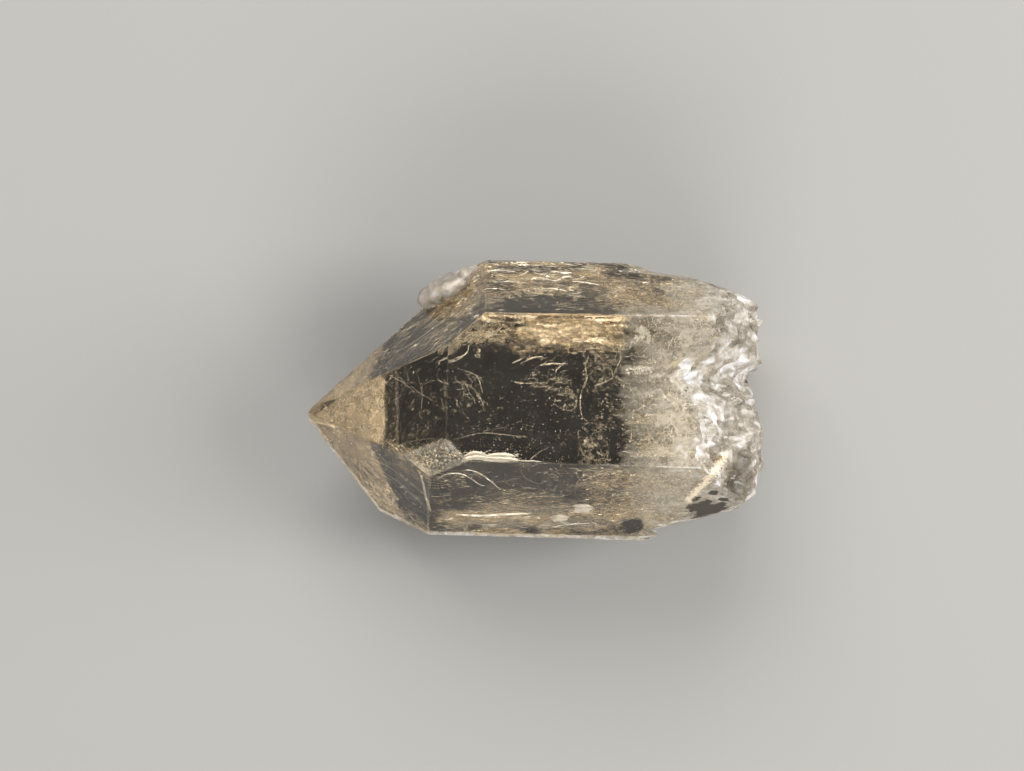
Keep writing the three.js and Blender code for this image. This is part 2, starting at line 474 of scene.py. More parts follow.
def scales(points):
    """Heights of low scales with sunken rims: how much further the next nearest of a set of
    jittered points is than the nearest, to the power 0.7."""
    x, y = points[:, 0], points[:, 1]
    first, second = nearest_two(x + 0.3 * y, y * 1.25, 0.62, seed=33)
    return 0.13 * np.clip((second - first) / 0.45, 0, 1) ** 0.7 - 0.11


def relief(points, owner):
    """The skin raised by the growth marks of each face, faded out next to the face's edges and at
    the broken end, and their heights in mm."""
    marks = {
        "top": lambda p: 0.010 * ridges(p, (0, 1, 0), 1.3, 9.0, 21),
        "south_high": lambda p: 0.014 * ridges(p, (0, 1, -1.7), 1.2, 8.0, 22),
        "south_low": lambda p: 0.11 * ridges(p, (1, 0, 0), 1.1, 4.0, 23),
        "north_low": lambda p: 0.13 * ridges(p, (1, 0.05, 0), 0.9, 4.5, 24)
        - 0.7 * fade(4.5 - p[:, 2], 4.5) * np.clip(ridges(p, (1, 0, 0.4), 1.6, 3.0, 36), 0, 1),
        "north_high": lambda p: 0.02 * ridges(p, (1, 0, 0), 1.2, 9.0, 25)
        + 0.16 * fade(p[:, 1] - 13.2, 3.0) * ridges(p, (1, 0.03, 0), 1.1, 8.0, 26),
        "point_top": lambda p: 0.02 * rough_noise(p, 4.0, 2, 27),
        "point_south": lambda p: 0.03 * ridges(p, (1, -0.9, -0.5), 1.6, 8.0, 28),
        "point_under": lambda p: 0.1 * rough_noise(p, 2.0, 4, 29)
        + (0.04 + 0.08 * fade(p[:, 0] + 17.0, 1.0)) * ridges(p, (0.3, 1, 0.3), 0.6, 1.5, 37),
        "point_north_low": lambda p: 0.08 * rough_noise(p, 2.6, 3, 30),
        "point_north_high": lambda p: 0.035 * ridges(p, (1, 0.8, 0.2), 0.8, 7.0, 31)
        + 0.2 * fade(p[:, 1] - 9.0 - 0.6 * (p[:, 0] + 16), 3.0) * rough_noise(p, 1.3, 4, 32),
        "scaly": scales,
    }
    inside = fade(np.sort(depths(points), axis=1)[:, 1], 0.8)
    normals = np.vstack([NORMALS, [0.0, 0.0, 0.0]])[owner]
    break_gap = fade(broken_end(points[:, 1], points[:, 2]) - points[:, 0], 1.5)
    height = by_face(points, owner, marks) * inside * np.where(owner == BROKEN, 0.0, break_gap)
    return points + height[:, None] * normals, height


def chipped_edges(points):
    """Breaks pieces off edges between two grown faces: near an edge a point moves in along both
    normals by half of width - a - b, its depths a and b under the two faces being less than the
    width, which noise varies along the edge. Also says how much each point is chipped."""
    under = depths(points)
    ragged = rough_noise(points, 2.4, 4, seed=13)
    notch = 0.8 * np.exp(-(((points[:, 0] + 1.5) / 1.6) ** 2))
    whole = points
    for other, width in (("north_low", 0.2 + 1.0 * ragged + notch), ("south_low", 0.7 + 1.8 * ragged)):
        one, other = NAMES.index("under"), NAMES.index(other)
        gap = np.clip(width, 0, 4) - under[:, one] - under[:, other]
        points = points - 0.5 * np.clip(gap, 0, None)[:, None] * (NORMALS[one] + NORMALS[other])
    return points, fade(np.linalg.norm(points - whole, axis=1), 0.15)


def worn(points):
    """Rounds the edges: near a second face a point sinks under both, by WEAR_DEPTH times the
    square of 1 - depth / WEAR_WIDTH, with more wear in some places than in others. Also says how
    near each point is to an edge, from 0 to 1."""
    amount = WEAR_DEPTH * (0.75 + 0.6 * rough_noise(points, 3.0, 3, seed=11))
    roof = depths(points, "top", "point_top").max(axis=1)
    amount = np.where(roof < WEAR_WIDTH, 0.1, 1.0) * np.clip(amount, 0.02, 0.3)
    near = np.clip(1.0 - depths(points) / WEAR_WIDTH, 0.0, 1.0) ** 2
    edge = np.sort(near, axis=1)[:, -2]
    nearest = near.max(axis=1, keepdims=True)
    near = near - nearest * (near == nearest)
    return points - (amount[:, None] * near) @ NORMALS, edge


def with_lump(points):
    """Pushes the skin out to the lump: along each ray from the lump's centre, the greater of the
    skin's distance and the lump's. The lump's is the root of the sum of the powers LUMP_POWER of
    the distances of its knobs' far sides, which are balls, plus noise and less ragged pits. Also
    says how much each point is on the lump, from 0 to 1."""
    spokes = points - LUMP_CENTRE
    reach = np.linalg.norm(spokes, axis=1)
    ray = spokes / reach[:, None]
    skin = np.zeros(len(points))
    for centre, radius in LUMP_KNOBS:
        offset = np.array(centre) - LUMP_CENTRE
        along = ray @ offset
        square = along**2 - offset @ offset + (KNOB_SHARE * radius) ** 2
        far_side = np.where(square > 0, along + np.sqrt(np.clip(square, 0, None)), 0)
        skin += far_side.clip(0, None) ** LUMP_POWER
    skin = skin ** (1 / LUMP_POWER)
    at = LUMP_CENTRE + ray * skin[:, None]
    pits = np.clip(ridges(at, (1, 0.7, 0), 0.7, 1.4, 42) - 0.1, 0, 1)
    crust = 0.16 * rough_noise(at, 1.3, 4, seed=41) - 0.15 * pits
    skin += crust * (skin > 0)
    return LUMP_CENTRE + ray * np.maximum(reach, skin)[:, None], fade(skin - reach + 0.3, 0.6)


CAD_BOX = [np.array(corner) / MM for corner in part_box(NODE)]
GROWN_CORNERS = grown_loops()[0]
SHIFT = np.array([
    CAD_BOX[0][0] - GROWN_CORNERS[:, 0].min(),
    CAD_BOX[1][1] - GROWN_CORNERS[:, 1].max(),
    0.0,
])


def in_plan(x, y, z):
    """The point at height z that shows at (x, y) of the plan. The plan is the view from straight
    above at middle height, from VIEW_DISTANCE away, so a higher point spreads out less."""
    x, y, z = np.broadcast_arrays(np.asarray(x, float), np.asarray(y, float), np.asarray(z, float))
    shrink = 1.0 - (z - MID_HEIGHT) / VIEW_DISTANCE
    eye = np.array(VIEW_CENTRE) - SHIFT[:2]
    return np.stack([eye[0] + (x - eye[0]) * shrink, eye[1] + (y - eye[1]) * shrink, z], axis=-1)


def under_face(name, x, y, depth):
    """The point that shows at (x, y) of the plan and lies a depth below a grown face: on the line
    of sight, the height where normal . point = distance - depth."""
    normal, distance = plane_of(name)
    low, high = in_plan(x, y, 0.0), in_plan(x, y, 30.0)
    goal = distance - np.asarray(depth, float)
    share = (goal - low @ normal) / ((high - low) @ normal)
    return low + share[..., None] * (high - low)


def sealed_in(points, gap):
    """True for each point that lies at least a gap inside the crystal."""
    ends = broken_end(points[:, 1], points[:, 2]) - points[:, 0]
    return (depths(points).min(axis=1) > gap) & (ends > BREAK_MARGIN * gap)


def below_skin(x, y, gap):
    """The highest point inside the crystal, by at least a gap, that shows at (x, y) of the plan:
    the first one on a walk down the line of sight."""
    heights = np.arange(30.4, 4.0, -0.2)
    at = in_plan(x[None], y[None], heights[:, None])
    inside = sealed_in(at.reshape(-1, 3), gap).reshape(at.shape[:2])
    return at[inside.argmax(axis=0), np.arange(len(x))]


def placed(name, data, at=(0, 0, 0)):
    """An object in the scene that holds the data."""
    made = bpy.data.objects.new(name, data)
    made.location = at
    bpy.context.collection.objects.link(made)
    return made


def mesh_object(name, points, faces, **attributes):
    """A piece from points in the crystal's frame, in millimetres, from faces that all have as many
    corners, and from named numbers, one for each point."""
    mesh = bpy.data.meshes.new(name)
    mesh.vertices.add(len(points))
    mesh.vertices.foreach_set("co", ((points + SHIFT) * MM).astype(np.float32).ravel())
    mesh.loops.add(faces.size)
    mesh.loops.foreach_set("vertex_index", faces.astype(np.int32).ravel())
    mesh.polygons.add(len(faces))
    mesh.polygons.foreach_set("loop_start", np.arange(len(faces), dtype=np.int32) * faces.shape[1])
    mesh.update(calc_edges=True)
    mesh.validate()
    for attribute, values in attributes.items():
        layer = mesh.attributes.new(attribute, "FLOAT", "POINT")
        layer.data.foreach_set("value", values.astype(np.float32))
    return placed(name, mesh)


def plug(tree, socket, value):
    """Links a socket to another node's output, or sets it to a value."""
    if isinstance(value, bpy.types.NodeSocket):
        tree.links.new(value, socket)
    else:
        socket.default_value = value


def node(tree, kind, **sockets):
    """A shader node with some of its inputs linked or set."""
    made = tree.nodes.new(kind)
    for name, value in sockets.items():
        plug(tree, made.inputs[name.replace("_", " ")], value)
    return made


def noise(tree, place, **settings):
    """A noise texture, from 0 to 1."""
    return node(tree, "ShaderNodeTexNoise", Vector=place, **settings).outputs["Fac"]


def value_map(tree, value, source, target):
    """Maps a value from one range to another, and keeps it in that."""
    ends = dict(zip(("From_Min", "From_Max", "To_Min", "To_Max"), (*source, *target)))
    return node(tree, "ShaderNodeMapRange", Value=value, **ends).outputs["Result"]


def maths(tree, operation, *values, clamp=False):
    """One operation on values or outputs, kept from 0 to 1 where clamp says so."""
    made = tree.nodes.new("ShaderNodeMath")
    made.operation = operation
    made.use_clamp = clamp
    for socket, value in zip(made.inputs, values):
        plug(tree, socket, value)
    return made.outputs["Value"]


def distance_along(tree, place, start, direction):
    """How far a place lies past a start along a direction: their dot product's difference."""
    made = tree.nodes.new("ShaderNodeVectorMath")
    made.operation = "DOT_PRODUCT"
    plug(tree, made.inputs[0], place)
    plug(tree, made.inputs[1], direction)
    return maths(tree, "SUBTRACT", made.outputs["Value"], float(start @ direction))


def ramp(tree, share, *stops):
    """A colour that runs through stops, each a position and a colour."""
    made = node(tree, "ShaderNodeValToRGB", Fac=share)
    elements = made.color_ramp.elements
    for element, (position, colour) in zip(elements, (stops[0], stops[-1])):
        element.position = position
        element.color = (*colour, 1)
    for position, colour in stops[1:-1]:
        elements.new(position).color = (*colour, 1)
    return made.outputs["Color"]


def mix(tree, share, first, second):
    """Two colours mixed by a share."""
    made = tree.nodes.new("ShaderNodeMix")
    made.data_type = "RGBA"
    for name, value in (("Factor", share), ("A", first), ("B", second)):
        plug(tree, made.inputs[name], value)
    return made.outputs["Result"]


def stained_line(tree, place, grains):
    """A crooked line between the two ends of the stained crack: how much of it shows, the more the
    nearer the line's middle, and its colour, cream in the middle and rust at the sides."""
    start, end = ((in_plan(x, y, STAINED_HEIGHT) + SHIFT) * MM for x, y in STAINED_CRACK)
    length = np.linalg.norm((end - start)[:2])
    along = np.array([*(end - start)[:2], 0.0]) / length
    across = np.array([-along[1], along[0], 0.0])
    wave = value_map(tree, grains, (0.0, 1.0), (-STAIN_WAVE, STAIN_WAVE))
    beside = maths(tree, "ADD", distance_along(tree, place, start, across), wave)
    share = value_map(tree, maths(tree, "ABSOLUTE", beside), (0.0, STAIN_HALF_WIDTH), (0.0, 1.0))
    colour = ramp(
        tree, share, (0.0, (1.0, 0.88, 0.64)), (0.3, (0.93, 0.75, 0.48)), (1.0, (0.55, 0.33, 0.15))
    )
    near = value_map(tree, share, (0.15, 0.8), (0.85, 0.0))
    onward = distance_along(tree, place, start, along)
    from_middle = maths(tree, "ABSOLUTE", maths(tree, "SUBTRACT", onward, float(length / 2)))
    ends = value_map(tree, from_middle, (0.42 * length, 0.5 * length), (1.0, 0.0))
    return maths(tree, "MULTIPLY", near, ends), colour


def quartz_material():
    """Clear quartz: plain transmission and absorption. The frost attribute blurs the surface. The
    milk attribute makes part of it white, in grains and streaks of noise, and so does the haze
    attribute, a ramp along the crystal whose start the streaks move. The painted shade attribute
    makes it dark brown and lets less through, shade painted where it should look dark, and the
    rose attribute makes the white faintly pink."""
    material = bpy.data.materials.new("clear quartz")
    material.use_nodes = True
    tree = material.node_tree
    tree.nodes.clear()
    read = {}
    for name in ("frost", "milk", "haze", "smoke", "rose"):
        made = node(tree, "ShaderNodeAttribute")
        made.attribute_name = name
        read[name] = made.outputs["Fac"]
    place = node(tree, "ShaderNodeTexCoord").outputs["Object"]
    drawn_out = node(tree, "ShaderNodeMapping", Vector=place, Scale=(0.16, 1.0, 1.0)).outputs["Vector"]
    grain_noise = noise(tree, place, Scale=1900.0, Detail=4.0, Roughness=0.65)
    streak_noise = noise(tree, drawn_out, Scale=1100.0, Detail=5.0, Roughness=0.6)
    fine_noise = noise(tree, place, Scale=2600.0, Detail=4.0)
    blotch_noise = noise(tree, place, Scale=330.0, Detail=7.0, Roughness=0.55, Distortion=1.2)

    moved = maths(tree, "ADD", read["haze"], value_map(tree, streak_noise, (0.0, 1.0), (-0.14, 0.14)))
    greys = ((0.0, 0.0), (0.04, 0.13), (0.45, 0.34), (1.0, 0.46))
    hazy = ramp(tree, moved, *((position, (grey,) * 3) for position, grey in greys))
    white = maths(tree, "ADD", read["milk"], hazy)
    for texture, source, target in (
        (grain_noise, (0.36, 0.62), (0.62, 1.0)),
        (blotch_noise, (0.35, 0.65), (0.62, 1.38)),
        (streak_noise, (0.3, 0.7), (0.78, 1.22)),
    ):
        white = maths(tree, "MULTIPLY", white, value_map(tree, texture, source, target))
    tint = ramp(
        tree, white, (0.0, (1.0, 0.985, 0.95)), (0.05, (0.94, 0.83, 0.62)), (0.4, (0.97, 0.86, 0.68)),
        (0.75, (0.97, 0.965, 0.97)),
    )
    rosy = mix(tree, read["rose"], tint, (0.96, 0.89, 0.84, 1))
    # painted shade: dark brown mixed in by the painted shade attribute, which also lets less light through
    # below
    dark = maths(tree, "MULTIPLY", read["smoke"], 3.0, clamp=True)
    stained = mix(tree, dark, rosy, (0.045, 0.034, 0.02, 1))
    band, band_colour = stained_line(tree, place, fine_noise)

    clear = maths(tree, "SUBTRACT", 1.0, white, clamp=True)
    unsmoked = maths(tree, "SUBTRACT", clear, read["smoke"], clamp=True)
    unstained = maths(tree, "SUBTRACT", unsmoked, band, clamp=True)
    rough = maths(tree, "MULTIPLY_ADD", read["milk"], 1.2, 0.06, clamp=True)
    bump = node(tree, "ShaderNodeBump", Strength=rough, Distance=0.00018, Height=fine_noise)
    shader = node(
        tree, "ShaderNodeBsdfPrincipled", IOR=1.544, Roughness=read["frost"], Normal=bump.outputs["Normal"],
        Base_Color=mix(tree, band, stained, band_colour), Transmission_Weight=unstained,
    )
    absorb = node(tree, "ShaderNodeVolumeAbsorption", Density=20.0, Color=(0.886, 0.70, 0.36, 1))
    surface, inside = shader.outputs["BSDF"], absorb.outputs["Volume"]
    node(tree, "ShaderNodeOutputMaterial", Surface=surface, Volume=inside)
    return material


def plain_material(name, **sockets):
    """A material of one Principled shader with some of its inputs set."""
    material = bpy.data.materials.new(name)
    material.use_nodes = True
    shader = material.node_tree.nodes["Principled BSDF"]
    for socket, value in sockets.items():
        shader.inputs[socket.replace("_", " ")].default_value = value
    return material, shader


def mirror_skin(name, colour, roughness):
    """Thin gas-filled crack: a blurred mirror, mottled by noise in its roughness."""
    material, shader = plain_material(name, Base_Color=(*colour, 1), Metallic=1.0)
    tree = material.node_tree
    place = node(tree, "ShaderNodeTexCoord").outputs["Object"]
    mottle = noise(tree, place, Scale=900.0, Detail=3.0)
    ends = (roughness - MOTTLE, roughness + MOTTLE)
    plug(tree, shader.inputs["Roughness"], value_map(tree, mottle, (0.3, 0.7), ends))
    return material


def cloud_front(points):
    """x at which the milky zone begins: a level plus noise drawn out along the crystal."""
    streaks = 1.0 * rough_noise(points * (0.1, 1.0, 1.0), 1.6, 3, 51)
    return 11.0 + streaks + 0.5 * rough_noise(points, 6.0, 2, 52)


def clear_window(points):
    """How clear the milky zone is, from 0 to 1: 1 - distance from a window's middle, in its half
    sizes and waved by noise, the clearest of all windows."""
    wave = 0.35 * rough_noise(points, 2.0, 3, 54)
    clear = np.zeros(len(points))
    for x, y, half_x, half_y, most in WINDOWS:
        away = np.hypot((points[:, 0] - x) / half_x, (points[:, 1] - y) / half_y) + wave
        clear = np.maximum(clear, most * fade(1.25 - away, 0.5))
    return clear


def frost_of(owner, snow, edge, lump):
    """How blurred the skin is: by its face, by the snow on the broken end, and at least so much
    more on the lump and on worn edges."""
    frost = np.where(owner == BROKEN, 0.08 + 0.3 * np.clip(snow, 0, 1), FINISHES[owner, 0])
    return np.maximum(frost, np.maximum(0.3 * lump, 0.15 * edge))


def milk_of(points, owner, snow, height, chip, edge, lump):
    """How white the skin is: by its face, in patches of snow and clear windows on the broken end,
    and more on the tops of the scales. Worn edges, except those of the top, chips, the lump and a
    seam along the foot of the southern faces are at least so white each. The white of the worn
    edges is partly frosted wear and partly a painted highlight."""
    patches = np.clip(2.8 * snow - 0.5, 0.6, 1.7) * (1.0 - 0.6 * clear_window(points))
    milk = np.where(owner == BROKEN, FINISHES[owner, 1] * patches, FINISHES[owner, 1])
    scaly = on_faces(owner, "scaly")
    milk[scaly] += SCALE_MILK * np.clip((height[scaly] + 0.06) / 0.07, 0, 1)
    # painted highlight: worn edges are made white, partly frosted wear and partly a highlight line, whiter
    # towards the broken end; those around the top stay nearly clear
    rim = 0.12 + 0.2 * np.clip((points[:, 0] - 12.0) / 6.0, 0, 1)
    rim = np.where(depths(points, "top", "point_top").max(axis=1) < WEAR_WIDTH, TOP_RIM_MILK, rim)
    lump_snow = np.clip(0.75 + 0.6 * rough_noise(points, 0.7, 4, seed=44), 0.2, 1.0)
    foot = depths(points, "south_low", "point_under").min(axis=1)
    seam = fade(1.05 + 0.25 * rough_noise(points * (0.2, 1, 1), 1.0, 3, 45) - foot, 0.3)
    seam = seam * on_faces(owner, "south_high", "point_south")
    return np.maximum.reduce([
        milk, LUMP_MILK * lump * lump_snow, rim * edge, CHIP_MILK * chip, SEAM_MILK * seam,
    ])


def haze_of(points, owner):
    """How far into the milky zone the skin is, along the crystal, less so in its clear windows and
    on the lower faces, and not at all on the broken end."""
    past = np.clip((points[:, 0] - cloud_front(points)) / 14.0, -0.3, 1.0)
    haze = np.where(owner == BROKEN, 0.0, past) - 0.5 * clear_window(points)
    return np.where(on_faces(owner, "under", "north_low", "south_low"), 0.6 * haze, haze)


def smoke_of(points, owner):
    """Painted shade on the skin, from 0 to 1: dark brown in place of shade, which darkens what is
    seen through the lower faces: beyond wavy lines across the crystal, and in streaks that run
    along it. There is also a painted dark patch on the lower lobe, in place of shade there."""
    wave = lambda p, seed: rough_noise(p, 2.2, 4, seed)
    streaks = lambda p, seed: rough_noise(p * (0.12, 1.0, 1.0), 0.8, 3, seed)
    point_end = lambda p: fade(p[:, 0] + 14.4 + 0.25 * wave(p, 64), 0.3)
    low_down = lambda p: fade(8.0 + 2.0 * wave(p, 69) - p[:, 2], 3.0)
    rules = {
        "north_low": lambda p: (
            fade(0.6 * p[:, 2] - 3.6 - p[:, 0] + 1.1 * wave(p, 61), 0.8)
            + fade(p[:, 0] - 11.8 + 0.3 * wave(p, 62), 0.5)
        ) * low_down(p) + 0.35 * fade(streaks(p, 63) - 0.15, 0.6),
        "point_under": point_end,
        "point_north_low": lambda p: point_end(p) * low_down(p),
        "south_low": lambda p: 0.4 + 0.25 * streaks(p, 65),
        "under": lambda p: fade(-10.9 - p[:, 0], 0.5)
        + fade(-3.0 - p[:, 1], 1.0) * np.clip(0.5 + 1.4 * streaks(p, 66), 0, 1),
    }
    # painted shade: a dark patch on the lower lobe, only above about 12 mm up
    away = np.hypot(*((points[:, k] - middle) / half for k, (middle, half) in enumerate(PAINTED_SHADE_PATCH)))
    patch_shade = fade(1.0 - away + 0.9 * rough_noise(points, 1.3, 4, 67), 0.35)
    patch_shade = patch_shade * fade(points[:, 2] - 12.0, 4.0)
    return np.clip(np.maximum(by_face(points, owner, rules), patch_shade), 0, 1)


def keep_soft(mesh, soft):
    """Takes the sharp mark off edges between two soft points."""
    ends = np.empty(2 * len(mesh.edges), np.int32)
    mesh.edges.foreach_get("vertices", ends)
    sharp = np.empty(len(mesh.edges), bool)
    mesh.edges.foreach_get("use_edge_sharp", sharp)
    sharp &= ~soft[ends.reshape(-1, 2)].all(axis=1)
    mesh.edges.foreach_set("use_edge_sharp", sharp)


def crystal():
    """The whole crystal and its lump, one closed surface: the flat faces and the broken end, raised
    by relief, chipped and worn at the edges, and pushed out to the lump."""
    points, quads, owner = crystal_surface()
    quads, first = welded(points, quads, 6)
    points, owner = points[first], owner[first]
    snow = 0.5 + 0.5 * rough_noise(points, 2.0, 4, seed=43)
    points, height = relief(points, owner)
    points, chip = chipped_edges(points)
    points, edge = worn(points)
    points, lump = with_lump(points)
    points = np.clip(points, CAD_BOX[0] - SHIFT, CAD_BOX[1] - SHIFT)
    piece = mesh_object(
        "crystal", points, quads,
        frost=frost_of(owner, snow, edge, lump),
        milk=milk_of(points, owner, snow, height, chip, edge, lump),
        haze=haze_of(points, owner),
        # painted shade: dark brown on the lower faces where the crystal should look dark
        smoke=smoke_of(points, owner),
        rose=np.maximum(0.6 * lump, 0.35 * fade(points[:, 0] - 19.0, 6.0)),
    )
    piece.data.set_sharp_from_angle(angle=math.radians(SHARP_ANGLE))
    keep_soft(piece.data, lump > 0.2)
    piece.data.materials.append(quartz_material())
    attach(piece, "root")
    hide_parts(NODE)


def smooth_curve(knots, count):
    """Points along a Catmull-Rom curve through the knots, evenly spaced in its parameter."""
    knots = np.array(knots, float)
    ends = np.vstack([2 * knots[0] - knots[1], knots, 2 * knots[-1] - knots[-2]])
    place = np.linspace(0, len(knots) - 1 - 1e-9, count)
    index = place.astype(int)
    t = (place - index)[:, None]
    a, b, c, d = (ends[index + k] for k in range(4))
    return 0.5 * (2 * b + (c - a) * t + (2 * a - 5 * b + 4 * c - d) * t**2
                  + (3 * b - a - 3 * c + d) * t**3)


def unit(vectors):
    """Vectors made one long."""
    return vectors / (np.linalg.norm(vectors, axis=-1, keepdims=True) + 1e-12)


def flakes(at, normal, size, tilt, seed, narrow=0.7, thick=0.12, run=None):
    """Flakes: flat four-sided slivers at the points. Each has two crossing edges, half a length
    apart along the normal times its thickness, so that it is a closed tetrahedron with the
    outline of a lozenge. The normals are tilted by random amounts. The long edges lie at random,
    or along the run."""
    random = np.random.default_rng(seed)
    keep = sealed_in(at, FLAKE_GAP)
    at, size = at[keep], size[keep]
    normal = unit(unit(normal) + tilt * random.normal(size=at.shape))
    aside = random.normal(size=at.shape) if run is None else np.cross(run[keep], normal)
    second = unit(np.cross(normal, np.cross(normal, aside)))
    first = np.cross(second, normal)
    a, b = first * size[:, None], second * (size * narrow)[:, None]
    lift = normal * (size * narrow * thick)[:, None]
    four = np.stack([at + a + lift, at - a + lift, at + b - lift, at - b - lift], axis=1)
    four = four[sealed_in(four.reshape(-1, 3), CORNER_GAP).reshape(-1, 4).all(axis=1)]
    faces = np.array([(0, 2, 1), (0, 1, 3), (0, 3, 2), (1, 2, 3)])
    return four.reshape(-1, 3), (faces + 4 * np.arange(len(four))[:, None, None]).reshape(-1, 3)


def as_triangles(faces):
    """Four-cornered faces cut in two."""
    return faces if faces.shape[1] == 3 else np.concatenate([faces[:, [0, 1, 2]], faces[:, [0, 2, 3]]])


def joined(parts):
    """Several shapes as one: their points one after another, the faces' numbers moved on."""
    starts = np.cumsum([0] + [len(points) for points, _ in parts[:-1]])
    points = np.concatenate([points for points, _ in parts])
    faces = np.concatenate([as_triangles(faces) + start for start, (_, faces) in zip(starts, parts)])
    return points, faces


def sealed(name, parts, finish, colour, roughness):
    """A piece sealed in the crystal, from several shapes, with a mirror finish. Triangles that lose
    a side when points are welded are left out."""
    points, faces = joined(parts)
    faces, first = welded(points, faces, 5)
    corners = np.sort(faces, axis=1)
    faces = faces[(corners[:, 0] != corners[:, 1]) & (corners[:, 1] != corners[:, 2])]
    piece = mesh_object(name, points[first], faces)
    piece.data.shade_flat()
    piece.data.materials.append(mirror_skin(finish, colour, roughness))
    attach(piece, "root")


def scattered(random, ranges, count):
    """Random points, even over a range in each direction."""
    return np.stack([random.uniform(*ends, count) for ends in ranges], axis=1)


def from_rim(x, y, box):
    """Distances in x and in y to the nearer sides of a box (x0, x1, y0, y1)."""
    return np.minimum(x - box[0], box[1] - x), np.minimum(y - box[2], box[3] - y)


def cloud(name, count, size, seed, onset):
    """Milky cloud of small flakes set at random, denser over an onset towards the broken end, in
    streaks that run along the crystal, and thinner near that end and on the north side."""
    random = np.random.default_rng(seed)
    at = scattered(random, CLOUD_BOX, count)
    x, y, _ = at.T
    past = x - cloud_front(at)
    streak = 0.5 + 0.75 * rough_noise(at * (0.08, 1.0, 1.0), 0.9, 3, 53)
    share = np.clip(past / onset, 0, 1) ** 1.2 * streak * (1.0 - 0.9 * clear_window(at))
    share *= (1.0 - 0.4 * np.clip((x - 21.0) / 5.0, 0, 1)) * (1.0 - 0.6 * np.clip((y - 10) / 3, 0, 1))
    at = at[random.random(count) < share]
    sizes = size * (0.6 + 1.2 * random.random(len(at)) ** 2)
    sealed(name, [flakes(at, LEVEL, sizes, 0.32, seed + 1)], name, (1.0, 0.955, 0.87), 0.55)


def lacy(count, seed, period, least):
    """Random places (u, v) from 0 to 1 that keep where noise of a period, of the unit square
    times 10, is over a least value, and thin out at the rim."""
    random = np.random.default_rng(seed)
    u, v = random.random(count), random.random(count)
    at = np.stack([10 * u, 10 * v, 0 * u], axis=1)
    rim = np.minimum(*from_rim(u, v, (0, 1, 0, 1)))
    keep = rough_noise(at, period, 4, seed) - 0.9 * np.clip(1 - rim / 0.14, 0, 1) > least
    return u[keep], v[keep]


def veil(face, box, depth, count, seed, size, least=0.0, period=1.5, lean=(0, 0, 0), tilt=0.2, wave=0.25):
    """Flakes on a waved sheet a depth below a grown face, over a box (x0, x1, y0, y1) of the
    plan, lying along the face, their normals leaned by a vector."""
    u, v = lacy(count, seed, period, least)
    at = under_face(face, box[0] + u * (box[1] - box[0]), box[2] + v * (box[3] - box[2]), depth)
    normal = plane_of(face)[0]
    at = at + (wave * rough_noise(at, 2.0, 3, seed + 1))[:, None] * normal
    random = np.random.default_rng(seed + 2)
    sizes = size * (0.5 + random.random(len(at)) ** 2)
    return flakes(at, normal + np.array(lean, float), sizes, tilt, seed + 3)


def grain(face, box, depth, count, length, narrow, seed, aim, least, spread=0.08, tilt=0.2, period=0.9,
          lean=None):
    """Long slivers like the grain of wood, between two depths below a grown face, over a box of
    the plan. They run along an aim of the plan, turned by random amounts, and keep where noise
    drawn out along the aim is over a least value."""
    random = np.random.default_rng(seed)
    x, y, deep = scattered(random, (box[:2], box[2:], depth), count).T
    aim = np.array(aim, float) / np.hypot(*aim)
    along, across = x * aim[0] + y * aim[1], y * aim[0] - x * aim[1]
    patch = rough_noise(np.stack([0.16 * along, across, 0.3 * deep], axis=1), period, 4, seed)
    rim_x, rim_y = from_rim(x, y, box)
    rim = np.clip(1 - np.minimum(rim_x / 1.2, rim_y / 0.4), 0, 1)
    keep = patch - 0.8 * rim * random.random(count) > least
    x, y, deep = x[keep], y[keep], deep[keep]
    at = under_face(face, x, y, deep)
    ahead = under_face(face, x + 0.1 * aim[0], y + 0.1 * aim[1], deep)
    turned = spread * random.normal(size=len(x))[:, None] * np.array([-aim[1], aim[0], 0.0])
    run = unit(ahead - at) + turned
    normal = plane_of(face)[0] + np.array(lean or LEAN[face])
    sizes = length * (0.35 + random.random(len(x)) ** 2)
    return flakes(at, normal, sizes, tilt, seed + 1, narrow=narrow, thick=0.3, run=run)


def tubes(line, across, width, thick=0.3):
    """Thin cracks: a lozenge carried along each line. Its corners lie a width to each side and
    thick widths above and below, and it tapers to its ends by the root of sin(pi u)."""
    steps = line.shape[1]
    run = unit(np.gradient(line, axis=1))
    side = unit(across - (across * run).sum(axis=-1, keepdims=True) * run)
    up = np.cross(run, side)
    taper = np.sqrt(np.sin(np.pi * np.linspace(0, 1, steps)).clip(0, 1))
    taper[[0, -1]] = 0.0
    wide = np.reshape(width, (-1, 1, 1)) * taper[None, :, None]
    ring = [side, thick * up, -side, -thick * up]
    points = np.stack([line + wide * corner for corner in ring], axis=2)
    index = np.arange(len(line) * steps * 4).reshape(len(line), steps, 4)
    near, far = index[:, :-1], index[:, 1:]
    quads = [near, np.roll(near, -1, axis=2), np.roll(far, -1, axis=2), far]
    return points.reshape(-1, 3), np.stack([corner.ravel() for corner in quads], axis=1)


def threads(start, heading, up, length, width, bend, seed):
    """Hair cracks: from each start a line runs along a heading and turns about the up direction by
    a random walk. Lines that would leave the crystal are left out."""
    random = np.random.default_rng(seed)
    count = len(start)
    up = unit(np.array(up) + 0.18 * random.normal(size=(count, 3)))
    heading = unit(heading)
    side = unit(np.cross(up, heading))
    turn = np.cumsum(random.normal(0, bend / math.sqrt(THREAD_STEPS), (count, THREAD_STEPS)), axis=1)
    turn = turn[..., None]
    run = np.cos(turn) * heading[:, None] + np.sin(turn) * side[:, None]
    line = start[:, None] + np.cumsum(run * (length[:, None, None] / THREAD_STEPS), axis=1)
    line -= (line.mean(axis=1) - start)[:, None]
    keep = sealed_in(line.reshape(-1, 3), THREAD_GAP).reshape(count, THREAD_STEPS).all(axis=1)
    across = (np.cos(turn) * side[:, None] - np.sin(turn) * heading[:, None])[keep]
    return tubes(line[keep], across, width[keep])


